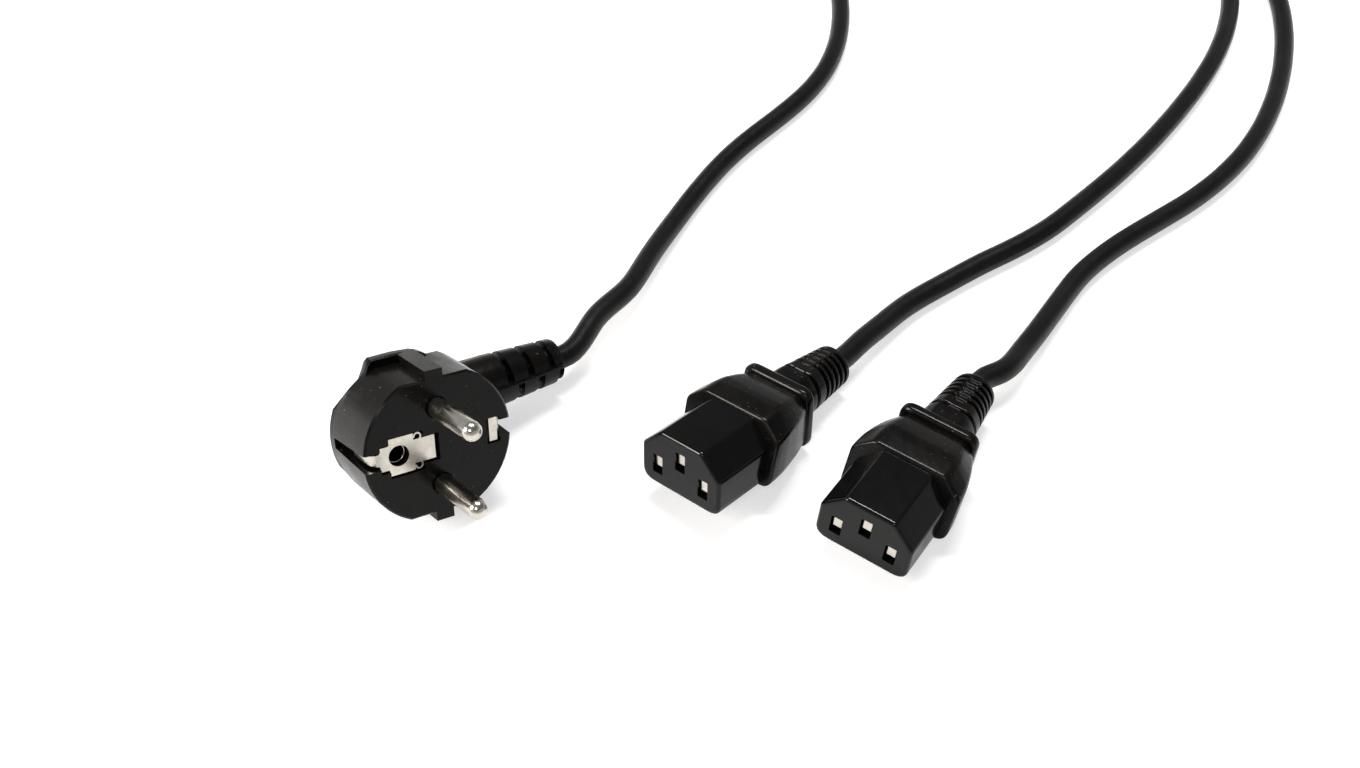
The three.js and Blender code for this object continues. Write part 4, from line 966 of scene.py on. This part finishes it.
@dataclass
class Plug:
    """The angled plug: moulding, two pins, earth strip and sleeve."""

    place: Place = Place((-54.87, -41.8, 22.76), -52.03, 19.51, -13.17)
    pin_radius: float = 2.4
    pin_length: float = 19.0
    pin_spacing: float = 19.0
    tail_radius: float = 1.6
    tail_end: float = 14.0
    sleeve_place: float = 9.9
    sleeve_radius: float = 2.45
    sleeve_wall: float = 0.35
    sleeve_front: float = 2.6
    sleeve_end: float = 12.0
    sleeve_shade: tuple[float, float] = (3.1, 4.0)

    def pin_profile(self) -> list[tuple[float, float]]:
        """Gives a pin's radius along w: thin tail, drawn body and a rounded tip.

        The tip is a quarter ellipse, r = R·cos a and w = start + rise·sin a.
        """
        rise = 2.3
        start = self.pin_length - rise
        tip = [
            (self.pin_radius * math.cos(angle), start + rise * math.sin(angle))
            for angle in np.linspace(0.0, 0.5 * math.pi, 14)
        ]
        tail = [(self.tail_radius, -self.tail_end), (self.tail_radius, -7.0)]
        body = [(self.pin_radius, -6.6), (self.pin_radius, 0.0)]
        return [*tail, *body, *tip[:-1], (0.02, self.pin_length)]

    def sleeve_profile(self) -> list[tuple[float, float]]:
        """Gives the sleeve's wall: up the inside, over a rolled lip and down the outside."""
        inner = self.sleeve_radius - self.sleeve_wall
        middle = (inner + self.sleeve_radius) / 2
        roll = self.sleeve_wall / 2
        front = [
            (middle + roll * math.cos(angle), -self.sleeve_front - roll + roll * math.sin(angle))
            for angle in np.linspace(0.0, math.pi, 7)
        ]
        floor = [(inner, 1 - self.sleeve_end), (0.02, 1 - self.sleeve_end)]
        return [(0.02, -self.sleeve_end), (self.sleeve_radius, -self.sleeve_end), *front, *floor]

    def make(self, finishes: Finishes) -> None:
        """Builds the plug's visible pieces and dresses its inner ones.

        Args:
            finishes: The part's finishes.
        """
        finishes.dress(refined_copy("plug_body", "plug_moulding", 0.28), Slot.SOFT_BLACK)
        finishes.dress(refined_copy("plug_earth_strip", "earth_strip", 0.1), Slot.NICKEL)
        spread = self.pin_spacing / 2
        for name, profile, centre in (
            ("line_pin", self.pin_profile(), (0.0, spread)),
            ("neutral_pin", self.pin_profile(), (0.0, -spread)),
            ("earth_sleeve", self.sleeve_profile(), (-self.sleeve_place, 0.0)),
        ):
            turned = grid_piece(name, self.place.at(turned_surface(profile, centre)))
            face_outward(turned)
            finishes.dress(turned, Slot.NICKEL)
            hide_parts(f"plug_{name}")
        zero = self.place.depth_zero()
        # The sleeve's nickel goes near black deeper in the earth hole: painted shade.
        shaded = PlatedMetal(
            "sleeve_nickel_painted_shade",
            (0.70, 0.665, 0.60),
            (0.56, 0.53, 0.47),
            0.2,
            depth_axis=tuple(self.place.axes()[2].tolist()),
            painted_shade_from=zero - self.sleeve_shade[0] * MM,
            painted_shade_to=zero - self.sleeve_shade[1] * MM,
        )
        turned.data.materials[0] = shaded.make()
        finishes.dress_node("plug_pin_bridge", Slot.SOFT_BLACK)
        finishes.dress_node("plug_line_core", Slot.BROWN_CORE)
        finishes.dress_node("plug_neutral_core", Slot.BLUE_CORE)
        finishes.dress_node("plug_earth_core", Slot.EARTH_CORE)


@dataclass
class Connector:
    """One appliance connector: soft grip with wings, crossbar, grooved relief and hard nose."""

    side: str
    place: Place
    front_bottom: float = 15.4
    front_top: float = 18.8
    nose_half_height: float = 8.0
    nose_half_width: float = 12.0
    nose_chamfer: float = 5.75
    nose_corners: tuple[float, ...] = (3.2, 1.5, 1.5, 1.5, 1.5, 3.2)
    nose_edge: float = 0.9
    nose_end: float = 22.9
    slot_half: tuple[float, float] = (1.5, 2.6)
    slot_depth: float = 16.4
    slot_corner: float = 0.25
    leaf_half: tuple[float, float] = (1.42, 1.85)
    leaf_rise: float = 0.65
    grip_drop: float = 7.75
    crown: float = 0.35
    crown_reach: float = 9.0
    bar_start: float = 34.5
    bar_end: float = 37.7
    bar_edge: float = 1.1
    bar_half_width: float = 10.3
    bar_half_height: float = 8.4
    bar_drop: float = 0.5
    neck_radius: float = 7.1
    neck_flat: float = 6.1
    relief_start: float = 42.0
    relief_end: float = 58.5
    relief_end_radius: float = 5.5
    lip: float = 0.7
    bore: float = 3.15
    grooves: int = 5
    groove_width: float = 1.0
    groove_pitch: float = 2.1
    groove_depth: float = 1.15
    web: float = 1.9
    slot_places: Mapping[str, tuple[float, float]] = field(
        default_factory=lambda: {"line": (7.0, -2.0), "neutral": (-7.0, -2.0), "earth": (0.0, 2.0)}
    )

    def carried(
        self,
        name: str,
        outline: np.ndarray,
        depth: np.ndarray,
        middle: tuple[float, float] = (0.0, 0.0),
    ) -> bpy.types.Object:
        """Makes a closed piece of outlines that lie behind the face, each at its depth.

        Args:
            name: The piece's name.
            outline: Outlines as rings × points × 2.
            depth: Depth of each outline.
            middle: u and v of their middle.

        Returns:
            The piece.
        """
        behind = np.broadcast_to(-depth[:, None], outline.shape[:2])
        rings = np.stack((outline[..., 0] + middle[0], outline[..., 1] + middle[1], behind), -1)
        return grid_piece(name, self.place.at(rings))

    def grip(self) -> bpy.types.Object:
        """Builds the grip: a six-cornered rounded outline carried along w.

        Its half width swells from the crossbar to the wings, its top domes over, and its rings
        lean more and more to the slant of the front, whose edge is rounded.

        Returns:
            The grip.
        """
        depth = np.concatenate((np.array([0.0, 0.04, 0.16, 0.36, 0.7]), np.linspace(1.2, 18.0, 46)))
        inset = np.interp(depth, [0.0, 0.04, 0.16, 0.36, 0.7], [0.7, 0.45, 0.21, 0.06, 0.0])
        middle = (self.front_bottom + self.front_top) / 2
        places = np.array([0.0, 2.5, 5.5, 8.5, 11.5, 14.5, 16.8, 18.0])
        half = eased(depth, places, (14.3, 14.2, 13.8, 13.1, 12.3, 11.3, 10.3, 9.7)) - inset
        top_half = eased(depth, places, (9.4, 9.4, 9.3, 9.1, 8.7, 8.2, 7.7, 7.4)) - inset
        top = eased(depth, places, (8.75, 8.9, 9.0, 8.8, 8.2, 7.4, 6.5, 6.1)) - inset
        shoulder = eased(depth, places, (4.6, 4.8, 5.0, 5.0, 4.8, 4.4, 4.0, 3.8)) - inset
        bottom = inset - self.grip_drop
        corners = mirrored((half, bottom), (half, shoulder), (top_half, top))
        outline = rounded_rings(corners, (3.2, 2.4, 3.0, 3.0, 2.4, 3.2), 10)
        lean = (self.front_top - self.front_bottom) / (2 * self.nose_half_height)
        share = np.clip(1 - depth / 17.0, 0.0, 1.0)[:, None]
        behind = middle + depth[:, None] + lean * outline[..., 1] * share
        crown = self.crown * np.clip(1 - (outline[..., 0] / self.crown_reach) ** 2, 0.0, 1.0)
        lifted = outline[..., 1] + crown * (outline[..., 1] > 5.0)
        rings = np.stack((outline[..., 0], lifted, -behind), -1)
        return grid_piece("grip", self.place.at(rings))

    def crossbar(self) -> bpy.types.Object:
        """Builds the bar: a rounded rectangle whose front and rear edges are quarter circles."""
        inset, back = quarter_edge(self.bar_edge, 7)
        ahead = self.bar_start + back
        depth = np.concatenate((ahead, (self.bar_start + self.bar_end) - ahead[::-1]))
        inset = np.concatenate((inset, inset[::-1]))
        wide = self.bar_half_width - inset
        high = self.bar_half_height - inset
        outline = rounded_rings(mirrored((wide, -high), (wide, high)), (3.4, 3.4, 3.4, 3.4), 8)
        return self.carried("crossbar", outline, depth, (0.0, -self.bar_drop))

    def relief(self) -> bpy.types.Object:
        """Builds the neck and the grooved strain relief in polar form round the cord.

        The radius is the smaller of the taper R(s) and the flat F(s) / |sin a|, less the depth
        of the grooves: a ring, side grooves outside the web and a ladder of slots on it.

        Returns:
            The neck and relief, with a rounded lip and the mouth of its bore.
        """
        along = np.arange(36.5, self.relief_end - self.lip, 0.14)
        angle = np.linspace(0.0, 2 * math.pi, 96, endpoint=False)
        places = (36.0, self.relief_start, self.relief_end)
        end = self.relief_end_radius
        taper = np.interp(along, places, (self.neck_radius, self.neck_radius, end))
        flat = np.interp(along, places, (self.neck_flat, self.neck_flat, end))
        sine = np.maximum(np.abs(np.sin(angle)), 1e-3)[None, :]
        body = np.minimum(taper[:, None], flat[:, None] / sine)
        across = np.abs(body * np.cos(angle)[None, :])
        beside = np.clip((across - self.web) / 0.4 + 0.5, 0.0, 1.0)
        on_web = np.clip((self.web - 0.35 - across) / 0.3 + 0.5, 0.0, 1.0)
        start = self.relief_start + 1.4
        ring = gate(along, start, start + self.groove_width, 0.2)[:, None]
        cut = ring * (0.5 + 0.7 * beside)
        for step in range(self.grooves):
            low = self.relief_start + 5.5 + step * self.groove_pitch
            side = gate(along, low, low + self.groove_width, 0.2)[:, None] * beside
            rung_low = low - self.groove_pitch / 2 + 0.1
            rung = gate(along, rung_low, rung_low + 0.8, 0.2)[:, None] * on_web
            cut = cut + self.groove_depth * side + 0.5 * rung
        radius = body - cut
        turn = np.linspace(0.0, math.pi / 2, 6)[1:]
        lip_radius = radius[-1][None, :] - self.lip * (1 - np.cos(turn))[:, None]
        lip_along = self.relief_end - self.lip + self.lip * np.sin(turn)
        mouth = np.full((2, len(angle)), self.bore)
        radius = np.concatenate((radius, lip_radius, mouth))
        along = np.concatenate((along, lip_along, [self.relief_end, self.relief_end - 1.5]))
        outline = np.stack((radius * np.cos(angle), radius * np.sin(angle)), -1)
        return self.carried("relief", outline, along)

    def spring(self, pole: str) -> bpy.types.Object:
        """Builds a contact's outer leaf: a rounded bar whose front edge is rolled.

        Args:
            pole: Name of the pole.

        Returns:
            The contact.
        """
        u, v = self.slot_places[pole]
        depth = np.array([0.7, 0.76, 0.92, 1.2, 14.5])
        inset = np.array([0.5, 0.27, 0.08, 0.0, 0.0])
        wide = self.leaf_half[0] - inset
        high = self.leaf_half[1] - inset
        outline = rounded_rings(mirrored((wide, -high), (wide, high)), (0.2, 0.2, 0.2, 0.2), 3)
        leaf = self.carried("leaf", outline, depth, (u, v + self.leaf_rise))
        return join([leaf], f"{self.side}_{pole}_spring")

    def nose(self) -> bpy.types.Object:
        """Builds the hard nose: a rounded outline whose front edge is rounded, with three slots.

        The front face is filled between its outline and the outlines of the slots.

        Returns:
            The nose.
        """
        inset, depth = quarter_edge(self.nose_edge, 8)
        inset = np.append(inset, 0.0)
        depth = np.append(depth, self.nose_end)
        wide, high, chamfer = self.nose_half_width, self.nose_half_height, self.nose_chamfer
        corners = mirrored((wide, -high), (wide, high - chamfer), (wide - chamfer, high))
        outline = rounded_rings(moved_in(corners, inset), self.nose_corners, 10)
        rings, sides = outline.shape[:2]
        behind = np.broadcast_to(-depth[:, None, None], (rings, sides, 1))
        shell = np.concatenate((outline, behind), -1)
        square = mirrored((1.0, -1.0), (1.0, 1.0)) * self.slot_half
        mouth = rounded_rings(square[None], (self.slot_corner,) * 4, 3)[0]
        mouths = np.array([mouth + place for place in self.slot_places.values()])
        slots, count = mouths.shape[:2]
        front = np.concatenate((mouths, np.zeros((slots, count, 1))), -1)
        floor = np.concatenate((mouths, np.full((slots, count, 1), -self.slot_depth)), -1)
        rows = np.arange(rings) * sides
        slot_rows = rings * sides + np.arange(slots) * count
        floor_rows = slot_rows + slots * count
        faces = band_faces(rows[:-1], rows[1:], sides)
        faces += band_faces(slot_rows, floor_rows, count)
        faces.append((rows[-1] + np.arange(sides)).tolist())
        faces += (floor_rows[:, None] + np.arange(count)).tolist()
        points = np.concatenate([part.reshape(-1, 3) for part in (shell, front, floor)])
        mesh = smooth_mesh("nose", self.place.at(points), faces)
        work = bmesh.new()
        work.from_mesh(mesh)
        rim = [line for line in work.edges if line.is_boundary]
        facing = Vector(self.place.axes()[2])
        bmesh.ops.triangle_fill(work, use_beauty=True, edges=rim, normal=facing)
        work.to_mesh(mesh)
        work.free()
        return join([added("nose", mesh)], f"{self.side}_nose")

    def make(self, finishes: Finishes) -> None:
        """Builds the connector's visible pieces and dresses its inner ones.

        Args:
            finishes: The part's finishes.
        """
        node = f"{self.side}_connector"
        body = join([self.grip(), self.crossbar(), self.relief()], f"{self.side}_grip")
        finishes.dress(body, Slot.SOFT_BLACK)
        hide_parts(f"{node}_body")
        nose = self.nose()
        finishes.dress(nose, Slot.GLOSS_BLACK)
        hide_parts(f"{node}_insert")
        for pole, slot in (
            ("line", Slot.BROWN_CORE),
            ("neutral", Slot.BLUE_CORE),
            ("earth", Slot.EARTH_CORE),
        ):
            contact = self.spring(pole)
            finishes.dress(contact, Slot.NICKEL)
            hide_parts(f"{node}_{pole}_contact")
            finishes.dress_node(f"{node}_{pole}_core", slot)


@dataclass
class SplitterBlock:
    """The moulded block where the main cord meets the two branches."""

    edge: float = 0.5

    def make(self, finishes: Finishes) -> None:
        """Builds the block and dresses the joints inside it.

        Args:
            finishes: The part's finishes.
        """
        block = refined_copy("splitter_body", "splitter_moulding", self.edge)
        finishes.dress(block, Slot.SOFT_BLACK)
        for pole in ("line", "neutral", "earth"):
            finishes.dress_node(f"splitter_{pole}_splice", Slot.CRIMP)


# Studio


@dataclass(frozen=True)
class SoftBox:
    """One rectangular lamp that points at a place on the floor."""

    name: str
    place: tuple[float, float, float]
    target: tuple[float, float, float]
    size: tuple[float, float]
    power: float
    colour: tuple[float, float, float]

    def make(self) -> None:
        """Adds the lamp, aimed from its place to its target."""
        lamp = bpy.data.lights.new(self.name, "AREA")
        lamp.shape = "RECTANGLE"
        lamp.size, lamp.size_y = self.size
        lamp.energy = self.power
        lamp.color = self.colour
        holder = bpy.data.objects.new(self.name, lamp)
        holder.location = self.place
        aim = Vector(self.target) - Vector(self.place)
        holder.rotation_euler = aim.to_track_quat("-Z", "Y").to_euler()
        bpy.context.scene.collection.objects.link(holder)


@dataclass
class Studio:
    """Pale floor, soft light and the camera of the photograph."""

    aim: tuple[float, float, float] = (-0.0596, -0.117, 0.0)
    camera_place: tuple[float, float, float] = (-0.0596, -0.388, 0.2778)
    focal_length: float = 39.706
    sensor: float = 36.0
    floor_half: float = 6.0
    floor_points: int = 49
    floor_flat: float = 2.5
    floor_rise: float = 0.18

    def make(self) -> None:
        """Builds the floor, the world, the lamps and the camera."""
        self._make_floor()
        self._make_world()
        for name, place, target, size, power, colour in (
            ("left_box", (-1.1, -0.35, 0.6), (-0.1, -0.1, 0.0), (0.4, 0.5), 17.0, WARM_WHITE),
            ("rear_box", (0.0, 0.4, 1.5), (-0.03, -0.05, 0.0), (0.8, 0.16), 28.0, WHITE),
            ("front_box", (-0.3, -1.2, 1.3), (-0.1, -0.1, 0.02), (0.5, 0.4), 5.0, WHITE),
        ):
            SoftBox(name, place, target, size, power, colour).make()
        self._make_camera()

    def _make_floor(self) -> None:
        """Makes the floor: a sheet at z = 0 that rises slowly far from the object.

        It glows for the camera, so that it looks white while it keeps the object's shadow, and
        about half as much for mirror rays, so that the metal shows it too.
        """
        count = self.floor_points
        line = np.linspace(-self.floor_half, self.floor_half, count)
        x, y = np.meshgrid(line, line)
        away = np.maximum(np.hypot(x, y) - self.floor_flat, 0.0)
        points = np.stack((x, y, self.floor_rise * away**2), -1).reshape(-1, 3)
        first = (np.arange(count - 1)[:, None] * count + np.arange(count - 1)).ravel()
        faces = np.stack((first, first + 1, first + count + 1, first + count), -1).tolist()
        mesh = smooth_mesh("floor", points, faces)
        floor = added("floor", mesh)
        graph = Graph("pale_floor")
        ray = ("ShaderNodeLightPath", None, None)
        reflected = graph.node(*ray, output="Is Glossy Ray") * 0.55
        seen = graph.node(*ray, output="Is Camera Ray") + reflected
        cloud = graph.noise(graph.place(), 0.004, 2.0)
        graph.set(
            Base_Color=graph.mixed(cloud, (0.5, 0.5, 0.5), (0.52, 0.52, 0.52)),
            Roughness=0.9,
            Specular_IOR_Level=0.0,
            Emission_Color=WHITE,
            Emission_Strength=seen * 0.62,
        )
        mesh.materials.append(graph.material)

    def _make_world(self) -> None:
        """Makes the world a plain pale grey."""
        world = bpy.data.worlds.new("studio")
        world.use_nodes = True
        world.node_tree.nodes["Background"].inputs["Color"].default_value = (0.9, 0.92, 0.95, 1.0)
        world.node_tree.nodes["Background"].inputs["Strength"].default_value = 0.16
        bpy.context.scene.world = world

    def _make_camera(self) -> None:
        """Places the camera as the photograph's."""
        data = bpy.data.cameras.new("camera")
        data.lens = self.focal_length
        data.sensor_width = self.sensor
        data.sensor_fit = "HORIZONTAL"
        data.clip_start = 0.01
        data.clip_end = 50.0
        camera = bpy.data.objects.new("camera", data)
        camera.location = self.camera_place
        aim = Vector(self.aim) - Vector(self.camera_place)
        camera.rotation_euler = aim.to_track_quat("-Z", "Y").to_euler()
        bpy.context.scene.collection.objects.link(camera)
        bpy.context.scene.camera = camera
        bpy.context.scene.view_settings.view_transform = "Standard"


def main() -> None:
    """Builds the whole scene in order."""
    logging.basicConfig(level=logging.INFO, format="%(name)s: %(message)s")
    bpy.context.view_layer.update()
    studio = Studio()
    studio.make()
    finishes = Finishes()
    CordSet().make(finishes)
    Plug().make(finishes)
    Connector("left", Place((-0.04, -42.25, 14.68), -132.5, 8.0, 6.7)).make(finishes)
    Connector("right", Place((41.55, -58.9, 11.58), -123.4, 3.5, -3.95)).make(finishes)
    SplitterBlock().make(finishes)
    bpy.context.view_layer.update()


if __name__ == "__main__":
    main()
